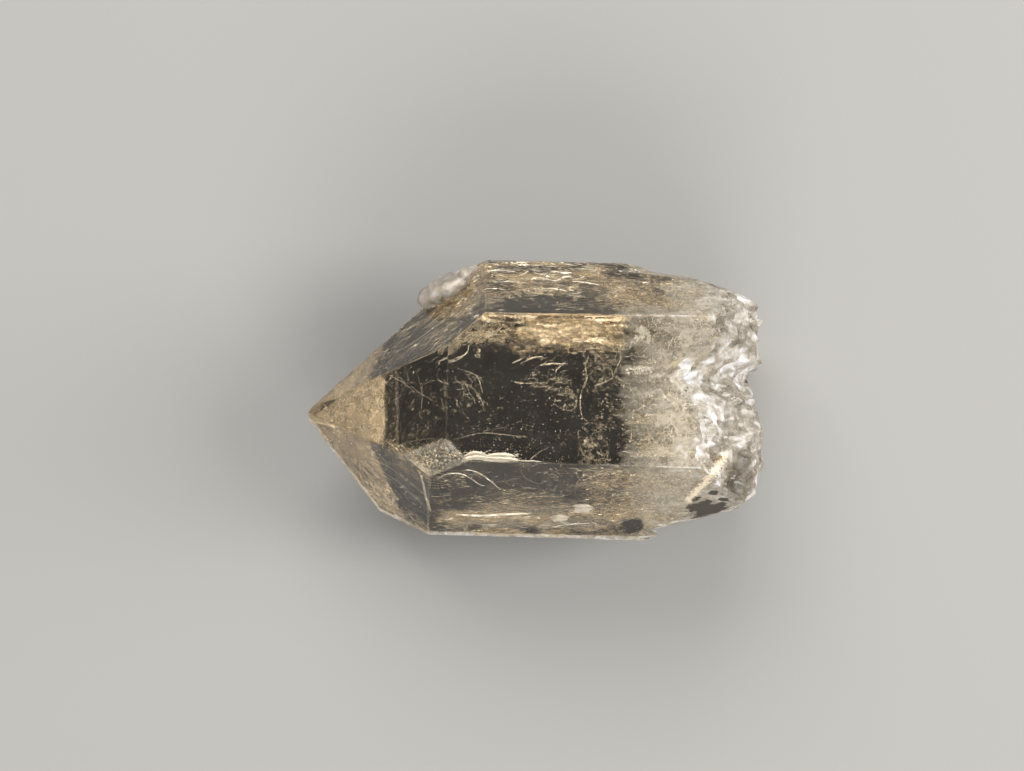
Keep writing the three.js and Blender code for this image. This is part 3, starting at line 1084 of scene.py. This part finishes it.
def thread_field(seed, face, box, depth, count, aim, spread, length, width, bend, up=None):
    """Hair cracks under a grown face, over a box (x0, x1, y0, y1) of the plan, between two depths.
    They aim along a direction of the plan, turned by random amounts up to a spread in radians."""
    random = np.random.default_rng(seed)
    x, y = scattered(random, (box[:2], box[2:]), count).T
    rim = np.minimum(*from_rim(x, y, box))
    patch = rough_noise(np.stack([x, y, 0 * x], axis=1), 3.0, 3, seed + 2)
    keep = random.random(count) < 0.75 * fade(rim + 0.9 * patch + 0.3, 1.6) + 0.1
    x, y, count = x[keep], y[keep], keep.sum()
    start = under_face(face, x, y, random.uniform(*depth, count))
    angle = math.atan2(aim[1], aim[0]) + spread * random.uniform(-1, 1, count)
    flat = np.stack([np.cos(angle), np.sin(angle), 0 * angle], axis=1)
    normal = plane_of(face)[0]
    if normal[2] < 0.9:
        flat = flat - (flat @ normal)[:, None] * normal / normal[2] * LEVEL
    lengths = length * (0.5 + random.random(count))
    widths = width * (0.5 + random.random(count))
    return threads(start, flat, up or FACING[face], lengths, widths, bend, seed + 1)


def thread_fields(rows, seed):
    """A field of hair cracks for each row of a table, with seeds three apart."""
    return [thread_field(seed + 3 * number, *row) for number, row in enumerate(rows)]


def strokes(table, thick):
    """Drawn cracks from a table of faces: each runs along a smooth curve through knots of the plan,
    a depth below its face, shaken by fine noise."""
    parts = []
    for face, rows in table.items():
        for depth, width, knots in rows:
            plan = smooth_curve(knots, STROKE_STEPS)
            line = under_face(face, plan[:, 0], plan[:, 1], depth)
            shake = [rough_noise(line + 9.0 * k, 0.7, 3, 110 + k) for k in range(3)]
            line += 0.05 * np.stack(shake, axis=1)
            across = np.cross(np.array(FACING[face]), unit(np.gradient(line, axis=0)))
            parts.append(tubes(line[None], across[None], np.array([width]), thick))
    return parts


# Tables of drawn cracks list for each face the depth, the half width and the knots of each crack.
# Those of fields list face, box, depths, count, aim, spread, length, half width, bend and, where it
# isn't the face's own, the facing. A row's number in a field table sets its seed.
CLEAR_STROKES = {
    "top": (
        (6, 0.07, [(-11.4, 5.06), (-9.1, 6.1), (-8.7, 7.35)]),
        (7, 0.05, [(-11.4, 4.9), (-10.1, 5.3), (-9.2, 5.9)]),
        (9, 0.06, [(-10.7, 2.5), (-8.5, 1.85), (-7.0, 0.0), (-6.7, -1.5)]),
        (9, 0.05, [(-9.4, 4.0), (-7.6, 3.1), (-6.8, 0.9)]),
        (8, 0.10, [(0.65, 4.6), (2.4, 4.8), (4.3, 4.75)]),
        (8, 0.08, [(-1.8, 4.9), (-0.5, 5.5), (0.95, 5.8)]),
        (8, 0.06, [(-3.0, 4.9), (-2.1, 5.3), (-1.2, 5.8)]),
        (5, 0.15, [(-2.7, 2.3), (-2.0, 2.27), (-1.3, 2.2)]),
        (10, 0.08, [(7.1, 6.4), (6.6, 4.3), (6.75, 2.8), (6.0, 0.93), (5.85, -0.6), (6.15, -2.1),
         (6.9, -2.7)]),
        (12, 0.07, [(5.5, -3.96), (5.85, -5.8), (6.45, -7.3), (8.6, -7.9)]),
        (9, 0.06, [(7.1, 6.7), (8.9, 5.2), (10.1, 3.1), (7.7, 1.85), (9.2, 2.6)]),
        (8, 0.08, [(11.3, 7.35), (11.0, 5.2), (10.1, 3.1)]),
        (4, 0.05, [(-10.7, -5.2), (-7.0, -4.3), (-3.3, -4.6), (-0.9, -4.9)]),
        (3, 0.06, [(-0.7, -7.9), (0.3, -7.0), (1.9, -6.1)]),
        (9, 0.06, [(3.0, 0.9), (4.4, 0.9), (5.4, 0.2), (5.0, -1.1), (3.8, -1.2), (3.9, -0.2)]),
    ),
    "point_top": (
        (5, 0.04, [(-14.2, 3.7), (-13.4, 0.66), (-13.7, -2.6)]),
        (5, 0.04, [(-15.1, 2.0), (-13.4, 0.7), (-11.6, -0.3)]),
        (3, 0.04, [(-18.4, 3.3), (-16.2, 2.1), (-14.5, 0.66)]),
        (2, 0.04, [(-17.5, -6.05), (-15.0, -5.3), (-12.4, -5.0)]),
    ),
    "south_high": (
        (0.5, 0.05, [(-6.6, -11.1), (-4.9, -11.2), (-4.2, -11.7), (-4.1, -13.4), (-4.7, -14.4)]),
        (0.5, 0.05, [(-7.5, -11.5), (-7.8, -12.4), (-6.6, -13.0), (-5.2, -14.1)]),
        (0.4, 0.04, [(-6.1, -10.9), (-3.7, -10.4), (-1.8, -10.05)]),
        (0.4, 0.05, [(-1.8, -8.9), (-1.6, -9.6), (-0.9, -10.3), (1.0, -11.0)]),
        (1.0, 0.06, [(5.3, -12.4), (5.3, -11.0), (6.2, -9.6), (8.4, -9.3)]),
        (1.0, 0.06, [(5.3, -12.4), (6.8, -12.7), (8.6, -12.1), (9.6, -11.2)]),
    ),
}

CLEAR_FIELDS = (
    ("top", (6.4, 11.8, 0.8, 7.4), (4, 15), 240, (0.2, 1), 1.5, 1.3, 0.026, 3.0),
    ("top", (5.6, 9.8, -8.3, -1.8), (4, 16), 260, (0.3, 1), 1.5, 1.0, 0.028, 3.0),
    ("top", (-2.0, 4.6, 0.6, 6.4), (6, 14), 70, (1, 0.45), 0.35, 1.5, 0.026, 0.5),
    ("top", (2.2, 6.0, -1.6, 1.6), (7, 11), 90, (1, -0.5), 1.5, 1.0, 0.024, 3.5),
    ("top", (-10.5, -6.3, -1.8, 4.2), (7, 11), 50, (1, -0.8), 0.6, 1.4, 0.024, 1.2),
    ("top", (-10.5, -4.5, 7.2, 11.0), (4, 16), 160, (1, 0.25), 0.5, 1.5, 0.035, 0.8),
    ("top", (-10.0, 1.0, -6.5, -2.5), (2, 12), 70, (1, 0.1), 1.5, 0.6, 0.02, 1.5),
    ("point_top", (-18.5, -12.2, -5.5, 5.5), (2, 8), 40, (0.6, 1), 0.8, 1.6, 0.02, 1.2),
    ("point_top", (-27.0, -18.8, -4.5, 5.0), (0.3, 4), 150, (0.7, 1), 0.9, 0.8, 0.022, 2.5),
    ("point_north_high", (-21.0, -8.0, 4.0, 15.5), (0.3, 1.2), 220, (1, 0.75), 0.2, 2.2, 0.02, 0.4),
    ("south_high", (1.0, 5.0, -12.5, -8.9), (0.4, 1.4), 110, (1, 0.2), 1.5, 0.9, 0.028, 2.5),
    ("south_high", (6.0, 12.0, -17.5, -13.0), (0.4, 2.0), 120, (1, 0.3), 1.2, 1.1, 0.03, 2.5),
    ("south_high", (-12.5, 5.0, -17.4, -14.0), (0.3, 1.0), 180, (1, 0.05), 0.25, 1.5, 0.025, 0.5),
    ("south_high", (-12.5, 12.0, -14.5, -9.0), (0.3, 2.0), 200, (1, 0.0), 0.6, 1.1, 0.02, 0.8),
    ("point_south", (-22.0, -14.5, -14.0, -7.0), (0.3, 1.5), 140, (1, -0.75), 0.3, 1.7, 0.02, 0.5),
)


def clear_cracks():
    """Fine cracks, ribbons and strokes in the clear part of the prism."""
    parts = strokes(CLEAR_STROKES, 0.3) + thread_fields(CLEAR_FIELDS, 200)
    sealed("clear_cracks", parts, "pale cracks", (0.62, 0.56, 0.45), 0.35)


# Tables of grain list face, box, depths, count, length, narrowness, seed, aim and least noise, and
# where they aren't the usual ones, spread, tilt, period and lean.
GOLDEN_GRAIN = (
    ("north_high", (-7.6, 9.6, 15.3, 18.5), (0.3, 1.5), 5000, 0.7, 0.1, 300, (1, -0.02), 0.2, 0.08, 0.3),
    ("north_high", (-7.4, 13.0, 10.9, 16.0), (0.3, 3.0), 6500, 0.5, 0.07, 303, (1, -0.02), 0.2, 0.08, 0.3),
    ("north_high", (8.5, 20.0, 11.3, 17.4), (0.3, 3.0), 4500, 0.45, 0.08, 306, (1, -0.12), 0.0),
    ("top", (-2.4, 11.7, 8.2, 10.8), (18, 25), 2200, 0.5, 0.09, 309, (1, -0.05), 0.0),
    ("top", (-2.8, 11.4, 6.2, 9.6), (12, 24), 2000, 0.45, 0.1, 336, (1, -0.12), 0.3, 0.08, 0.2, 1.6),
    ("north_high", (-7.4, 12.0, 11.8, 15.8), (0.4, 3.0), 2000, 0.4, 0.03, 339, (1, -0.02), -0.3),
    ("north_high", (9.5, 23.0, 10.6, 17.0), (0.3, 1.6), 4200, 0.35, 0.16, 345, (1, -0.16), 0.05, 0.3,
     0.2, 1.6),
    ("north_high", (-7.4, 9.5, 14.9, 18.6), (0.3, 1.0), 3200, 0.7, 0.26, 342, (1, -0.02), 0.3, 0.08,
     0.16, 1.3),
    ("top", (-9.6, -2.0, 7.6, 11.2), (14, 24), 1500, 0.45, 0.06, 312, (1, 0.1), 0.05),
    ("point_north_high", (-20.5, -7.5, 5.0, 17.5), (0.3, 1.4), 6000, 0.7, 0.05, 315, (1, 0.72), 0.3,
     0.08, 0.3),
    ("point_north_high", (-16.0, -7.0, 10.5, 17.5), (0.3, 1.2), 5000, 0.3, 0.25, 318, (1, 0.72), 0.05,
     0.5, 0.45),
    ("south_high", (-13.5, 12.5, -17.6, -14.2), (0.3, 1.2), 5500, 0.65, 0.09, 321, (1, 0.01), 0.2, 0.08,
     0.3),
    ("south_high", (-13.5, 12.5, -14.4, -8.5), (0.3, 3.0), 6000, 0.5, 0.08, 324, (1, 0.01), 0.28, 0.08,
     0.35),
    ("south_high", (6.0, 16.0, -17.6, -8.5), (0.3, 3.0), 4500, 0.35, 0.12, 327, (1, 0.01), 0.0, 0.4, 0.35),
    ("point_south", (-25.0, -13.5, -16.5, -5.0), (0.3, 1.6), 6000, 0.6, 0.06, 330, (1, -0.72), 0.32,
     0.08, 0.3),
    ("point_top", (-21.0, -11.5, -6.5, 6.0), (1, 9), 2600, 0.35, 0.05, 333, (0.7, 1), 0.2, 0.4),
    ("point_top", (-28.5, -18.4, -6.0, 6.0), (0.3, 3), 1500, 0.25, 0.1, 348, (0.7, 1), 0.25, 0.8, 0.3),
)

BREAK_GRAIN = (
    ("south_high", (8.0, 21.0, -17.0, -8.5), (0.3, 2.0), 5200, 0.3, 0.2, 354, (1, 0.05), 0.05, 0.3, 0.3,
     1.5),
    ("top", (12.5, 21.0, -7.5, -1.5), (0.4, 3.0), 2600, 0.25, 0.2, 357, (1, 0.02), 0.15, 0.3, 0.25, 1.5,
     (0, 0.15, 0)),
)


def golden_grain():
    """Golden grain that runs along the outer faces like that of wood, and under the top face over
    the low northern face, the specks of the scaly face, and grain next to the broken end."""
    parts = [grain(*row) for row in GOLDEN_GRAIN]
    parts.append(veil("scaly", (-18.0, -9.0, -10.2, -3.8), 0.3, 1500, 351, 0.13, least=-0.2,
                      period=0.9, lean=LEAN["scaly"], tilt=0.14, wave=0.02))
    parts += [grain(*row) for row in BREAK_GRAIN]
    sealed("golden_grain", parts, "golden cracks", (1.0, 0.88, 0.67), 0.28)


DARK_GRAIN = (
    ("north_high", (6.5, 16.0, 15.5, 18.0), (0.25, 0.7), 1100, 0.9, 0.07, 600, (1, -0.12), 0.1, 0.08,
     0.2, 1.0),
    ("north_high", (4.0, 12.5, 11.1, 13.0), (0.3, 2.0), 1500, 0.5, 0.07, 603, (1, -0.02), 0.1),
    ("north_high", (-7.0, 8.0, 13.5, 18.4), (0.25, 0.6), 3000, 0.7, 0.08, 606, (1, -0.02), 0.2),
    ("point_north_high", (-16.0, -7.0, 9.5, 17.0), (0.25, 0.6), 1500, 0.5, 0.07, 609, (1, 0.72), 0.2, 0.4),
    ("south_high", (11.5, 14.0, -17.2, -15.4), (0.25, 0.8), 700, 0.4, 0.3, 612, (1, 0.2), -0.1, 0.5),
    ("south_high", (5.0, 12.5, -15.0, -9.0), (0.25, 1.5), 1500, 0.5, 0.12, 615, (1, 0.05), 0.3, 0.4, 0.2,
     1.6),
    ("south_high", (-13.0, 12.0, -17.7, -16.4), (0.25, 0.6), 1500, 0.7, 0.06, 618, (1, 0.01), 0.1),
)


def dark_grain():
    """Dark brown stained cracks under the outer faces."""
    parts = [grain(*row) for row in DARK_GRAIN]
    sealed("dark_grain", parts, "brown cracks", (0.09, 0.065, 0.04), 0.6)


BRIGHT_STROKES = {
    "south_high": (
        (0.25, 0.24, [(-10.4, -14.95), (-7.0, -15.05), (-3.5, -14.9), (-0.4, -14.8)]),
        (0.4, 0.10, [(0.5, -17.2), (2.0, -16.6), (4.3, -16.2), (7.2, -16.0)]),
        (0.4, 0.09, [(-13.0, -10.3), (-11.5, -9.5), (-9.4, -9.6), (-7.3, -10.9), (-6.6, -11.1)]),
        (0.4, 0.12, [(-9.2, -8.9), (-7.6, -9.3), (-5.9, -10.4), (-4.6, -11.6)]),
    ),
    "point_south": (
        (0.4, 0.2, [(-15.2, -8.9), (-14.6, -10.5), (-14.2, -12.5), (-13.7, -14.6)]),
        (0.3, 0.04, [(-22.0, -7.2), (-19.3, -8.6), (-16.5, -10.6), (-14.5, -12.2)]),
        (0.3, 0.035, [(-20.5, -8.9), (-18.0, -10.6), (-15.8, -12.5), (-14.3, -14.0)]),
    ),
    "point_north_high": (
        (0.3, 0.045, [(-19.0, 5.6), (-15.5, 7.7), (-12.5, 9.9), (-8.6, 12.7)]),
        (0.3, 0.035, [(-17.0, 6.0), (-14.0, 8.4), (-11.0, 10.2)]),
        (0.3, 0.035, [(-15.0, 8.9), (-12.0, 11.3), (-9.0, 13.6)]),
    ),
    "north_high": (
        (0.35, 0.13, [(-6.9, 16.7), (-4.5, 16.9), (-2.6, 16.6)]),
        (0.35, 0.11, [(-2.0, 15.6), (0.8, 15.9), (2.9, 15.4)]),
        (0.35, 0.09, [(-5.5, 15.2), (-3.4, 15.4), (-1.6, 15.2)]),
        (0.35, 0.09, [(1.0, 16.8), (3.2, 16.6), (5.4, 16.5)]),
        (0.35, 0.11, [(4.8, 15.4), (6.9, 15.2), (8.6, 14.9)]),
        (0.35, 0.07, [(-7.1, 14.4), (-5.2, 14.5), (-3.6, 14.2)]),
        (0.35, 0.07, [(0.2, 14.3), (2.2, 14.5), (4.4, 14.1)]),
    ),
}

BRIGHT_FIELDS = (
    ("north_high", (-7.2, 8.5, 15.6, 18.4), (0.3, 0.9), 230, (1, -0.02), 0.12, 2.2, 0.11, 0.5),
    ("north_high", (-7.2, 12.0, 12.5, 15.8), (0.3, 0.9), 90, (1, -0.02), 0.2, 1.2, 0.05, 0.6),
    ("top", (-2.2, 11.5, 7.6, 11.0), (14, 24), 70, (1, -0.1), 0.15, 2.0, 0.09, 0.5, NORTH_LIGHT_FACING),
    ("point_north_high", (-14.5, -7.5, 12.5, 18.0), (0.3, 0.8), 160, (1, 0.7), 1.2, 0.7, 0.07, 1.5),
    ("south_high", (-12.0, 12.0, -17.6, -15.0), (0.3, 0.9), 90, (1, 0.0), 0.15, 1.6, 0.05, 0.5),
    ("south_high", (8.0, 21.0, -17.0, -9.0), (0.3, 1.0), 90, (1, 0.1), 0.8, 0.6, 0.06, 1.0),
    ("point_top", (-29.0, -20.5, -4.5, 4.5), (0.25, 1.2), 150, (1, 0.6), 2.0, 0.6, 0.05, 4.5),
    ("point_top", (-20.8, -19.5, -5.8, 5.8), (0.4, 1.5), 60, (0.3, 1), 0.5, 0.7, 0.035, 1.8),
    ("point_south", (-27.0, -15.5, -15.0, -3.5), (0.25, 1.0), 170, (1, -0.95), 0.4, 0.7, 0.045, 1.5),
)


def bright_cracks():
    """The bright strokes and curls under the sloping faces and in the clear part."""
    parts = strokes(BRIGHT_STROKES, 0.08) + thread_fields(BRIGHT_FIELDS, 500)
    sealed("bright_cracks", parts, "bright cracks", (1.0, 0.93, 0.8), 0.35)


def stained_crack():
    """Pale cracks that come up to the skin next to the broken end. Each follows the skin's underside
    along a curve of the plan, shaken by noise, its heights smoothed by a running mean of nine."""
    parts = []
    for knots, width in (
        ([(17.2, 4.0), (18.4, 4.9), (19.9, 5.6)], 0.2),
        ([(17.6, 1.2), (18.6, -0.4), (19.0, -1.8)], 0.12),
    ):
        plan = smooth_curve(knots, CREST_STEPS)
        at = np.c_[plan, 0 * plan[:, 0]]
        x, y = (plan[:, k] + 0.12 * rough_noise(at, 0.6, 3, 140 + k) for k in (0, 1))
        line = below_skin(x, y, 0.4)
        line[:, 2] = np.convolve(np.pad(line[:, 2], 4, mode="edge"), np.ones(9) / 9, mode="valid") - 0.1
        across = np.cross((0.2, -0.2, 1.0), unit(np.gradient(line, axis=0)))
        parts.append(tubes(line[None], across[None], np.array([width])))
    sealed("stained_crack", parts, "yellow crack", (1.0, 0.86, 0.58), 0.45)


SWIRL_FIELDS = (
    ("top", (14.0, 23.5, -7.5, 10.5), (0.3, 2.5), 260, (1, 0.3), 3.1, 1.9, 0.03, 2.2),
    ("top", (17.0, 23.5, -6.5, 4.0), (0.3, 1.5), 160, (0.2, 1), 1.5, 1.6, 0.06, 2.0),
    ("north_high", (10.0, 23.0, 11.0, 17.0), (0.3, 1.5), 180, (1, -0.3), 1.0, 1.6, 0.04, 1.8),
    ("south_high", (12.0, 23.0, -15.5, -9.0), (0.3, 1.5), 200, (1, 0.4), 1.6, 1.6, 0.04, 2.0),
    ("top", (11.5, 14.5, -7.5, 8.0), (0.5, 6.0), 60, (0.1, 1), 1.5, 1.2, 0.03, 2.5),
)


def swirls():
    """Curved white hair cracks in the cloudy zone, near the skin."""
    sealed("swirls", thread_fields(SWIRL_FIELDS, 400), "white hair cracks", (1.0, 0.97, 0.92), 0.4)


def rust():
    """Rust-brown specks beside the stained crack, scattered about the line between its ends."""
    random = np.random.default_rng(150)
    count = 500
    along = random.random(count)
    x = 24.6 - 4.4 * along + random.normal(0, 0.35, count)
    y = -7.1 - 5.4 * along + random.normal(0, 0.35, count)
    at = below_skin(x, y, 0.3)
    sizes = 0.05 + 0.12 * random.random(count)
    shape = flakes(at, np.array([0.15, -0.2, 1.0]), sizes, 0.3, 151)
    sealed("rust", [shape], "rust", (0.62, 0.36, 0.15), 0.5)


CREAM_WEDGE = {
    "top": (
        (0.55, 0.4, [(-9.4, -7.75), (-7.6, -7.5), (-5.2, -7.65), (-2.0, -7.9)]),
        (0.5, 0.22, [(-9.2, -7.3), (-8.0, -6.95), (-6.4, -7.15)]),
        (0.5, 0.26, [(-6.4, -7.3), (-4.4, -7.2), (-2.7, -7.35)]),
        (0.45, 0.08, [(-2.6, -7.95), (-0.8, -8.0), (0.9, -8.1)]),
    ),
}

CREAM_PATCHES = {
    "south_high": (
        (0.3, 0.42, [(1.95, -15.2), (3.2, -15.15), (4.5, -15.25)]),
        (0.4, 0.42, [(2.1, -15.5), (3.3, -15.5), (4.35, -15.45)]),
        (0.3, 0.42, [(4.9, -13.8), (6.3, -13.75), (7.7, -13.9)]),
        (0.4, 0.42, [(5.05, -14.1), (6.4, -14.15), (7.85, -14.05)]),
        (0.35, 0.4, [(4.95, -14.45), (6.2, -14.45), (7.3, -14.4)]),
    ),
}


def pale_patches():
    """Patches of flakes and of broad strokes, under the faces and in the clear part."""
    parts = strokes(CREAM_WEDGE, 0.1) + strokes(CREAM_PATCHES, 0.14)
    parts += [
        veil("top", (-10.0, -1.2, -8.2, -6.4), 0.8, 1300, 90, 0.09, least=0.1, period=0.8, tilt=0.3),
        veil("top", (-7.9, -7.1, 5.5, 6.9), 7, 120, 93, 0.1, least=-0.3),
        veil("top", (6.2, 8.5, -7.2, -4.8), 11, 420, 96, 0.13, least=0.2),
        veil("top", (8.0, 11.8, -4.2, 1.0), 9, 500, 99, 0.08, least=-0.1, tilt=0.4),
        veil("top", (-0.9, 3.6, 1.0, 4.4), 8, 500, 102, 0.06, least=-0.1, tilt=0.4),
        veil("north_high", (-6.5, 3.5, 15.3, 17.2), 0.8, 1500, 111, 0.13, least=0.25, period=0.7,
             lean=LEAN["north_high"]),
    ]
    sealed("pale_patches", parts, "pale flakes", (0.9, 0.82, 0.68), 0.42)


def haze():
    """Fine dust of specks through the clear part, which warms its darkness. It is denser where
    noise is high."""
    random = np.random.default_rng(120)
    count = 15000
    at = scattered(random, HAZE_BOX, count)
    clouded = rough_noise(at * (0.5, 1, 1), 4.0, 3, 121)
    at = at[random.random(count) < 0.4 + 0.6 * clouded]
    sizes = 0.035 + 0.09 * random.random(len(at)) ** 3
    sealed("haze", [flakes(at, LEVEL, sizes, 0.5, 122)], "haze specks", (1.0, 0.93, 0.8), 0.5)


def break_glints():
    """Whitish inner cracks just behind the broken end, and cool white ones under the top."""
    random = np.random.default_rng(130)
    count = 16000
    y, z = scattered(random, ((-17, 17), (0.6, 30)), count).T
    back = 0.5 + 3.5 * random.random(count) ** 1.5
    at = np.stack([broken_end(y, z) - back, y, z], axis=1)
    at = at[(rough_noise(at, 2.6, 4, 131) > 0.12) & (clear_window(at) < 0.3)]
    sizes = 0.1 + 0.22 * random.random(len(at)) ** 2
    parts = [
        flakes(at, np.array([0.25, 0.0, 0.95]), sizes, 0.45, 132),
        veil("top", (12.9, 15.4, 7.3, 9.7), 1.0, 1100, 134, 0.12, period=2.0, tilt=0.3, wave=0.4),
        veil("top", (11.9, 15.7, 3.3, 4.6), 0.8, 900, 137, 0.1, least=-0.1, tilt=0.35),
        veil("top", (17.2, 22.5, -2.7, 2.9), 0.8, 4500, 143, 0.16, least=0.1, period=2.2, tilt=0.4, wave=0.5),
        veil("top", (20.0, 23.8, -5.9, -4.7), 0.6, 500, 146, 0.12, least=-0.1, tilt=0.4),
        veil("top", (15.0, 19.8, 9.0, 10.4), 0.8, 700, 149, 0.07, least=0.1, tilt=0.3),
    ]
    sealed("break_glints", parts, "white cracks", (0.97, 0.98, 1.0), 0.35)


FLOOR_HALF, FLOOR_DROP = 3.0, 2e-5  # metres
SENSOR = 36.0  # mm
SKY_STRENGTH = 0.34
# Softboxes: name, size, place and power, in metres and watts
SOFTBOXES = (
    ("north light", (0.9, 0.5), (-0.15, 0.72, 0.72), 7.5),
    ("south light", (0.9, 0.4), (0.1, -0.8, 0.62), 5.0),
    ("east light", (0.4, 0.8), (0.85, 0.1, 0.55), 8.5),
)
MOST_BOUNCES, INNER_BOUNCES, CLEAR_BOUNCES = 24, 20, 48  # light meets many sealed flakes


def floor():
    """The plain pale floor: one square, a hair below the crystal."""
    mesh = bpy.data.meshes.new("floor")
    corners = [(u * FLOOR_HALF, v * FLOOR_HALF, -FLOOR_DROP) for u, v in ((-1, -1), (1, -1), (1, 1), (-1, 1))]
    mesh.from_pydata(corners, [], [(0, 1, 2, 3)])
    material, _ = plain_material(
        "pale floor", Base_Color=(0.41, 0.40, 0.38, 1), Roughness=0.9, Specular_IOR_Level=0.1
    )
    mesh.materials.append(material)
    piece = placed("floor", mesh)


def camera():
    """The camera straight above VIEW_CENTRE, its lens as long as VIEW_WIDTH asks."""
    data = bpy.data.cameras.new("camera")
    data.sensor_width = SENSOR
    data.lens = SENSOR * VIEW_DISTANCE / VIEW_WIDTH
    data.clip_start, data.clip_end = 0.01, 20.0
    place = (VIEW_CENTRE[0] * MM, VIEW_CENTRE[1] * MM, (VIEW_DISTANCE + MID_HEIGHT) * MM)
    bpy.context.scene.camera = placed("camera", data, place)


def lighting():
    """A soft, slightly warm sky and three softboxes that face the origin."""
    world = bpy.data.worlds.new("studio")
    world.use_nodes = True
    sky = world.node_tree.nodes["Background"]
    sky.inputs["Color"].default_value = (1.0, 0.985, 0.955, 1)
    sky.inputs["Strength"].default_value = SKY_STRENGTH
    bpy.context.scene.world = world
    for name, size, place, power in SOFTBOXES:
        data = bpy.data.lights.new(name, "AREA")
        data.shape = "RECTANGLE"
        data.size, data.size_y = size
        data.energy = power
        made = placed(name, data, place)
        made.rotation_euler = (-Vector(place)).to_track_quat("-Z", "Y").to_euler()


def light_paths():
    """Plain view colours, no caustics, and enough bounces for light to cross the crystal."""
    scene = bpy.context.scene
    scene.view_settings.view_transform = "Standard"
    scene.cycles.caustics_refractive = False
    scene.cycles.caustics_reflective = False
    scene.cycles.max_bounces = MOST_BOUNCES
    scene.cycles.glossy_bounces = INNER_BOUNCES
    scene.cycles.transmission_bounces = INNER_BOUNCES
    scene.cycles.transparent_max_bounces = CLEAR_BOUNCES


crystal()
clear_cracks()
golden_grain()
dark_grain()
bright_cracks()
stained_crack()
swirls()
rust()
pale_patches()
haze()
break_glints()
cloud("fine_cloud", 90000, 0.05, 7, 5.0)
cloud("coarse_cloud", 26000, 0.09, 9, 9.0)
floor()
camera()
lighting()
light_paths()
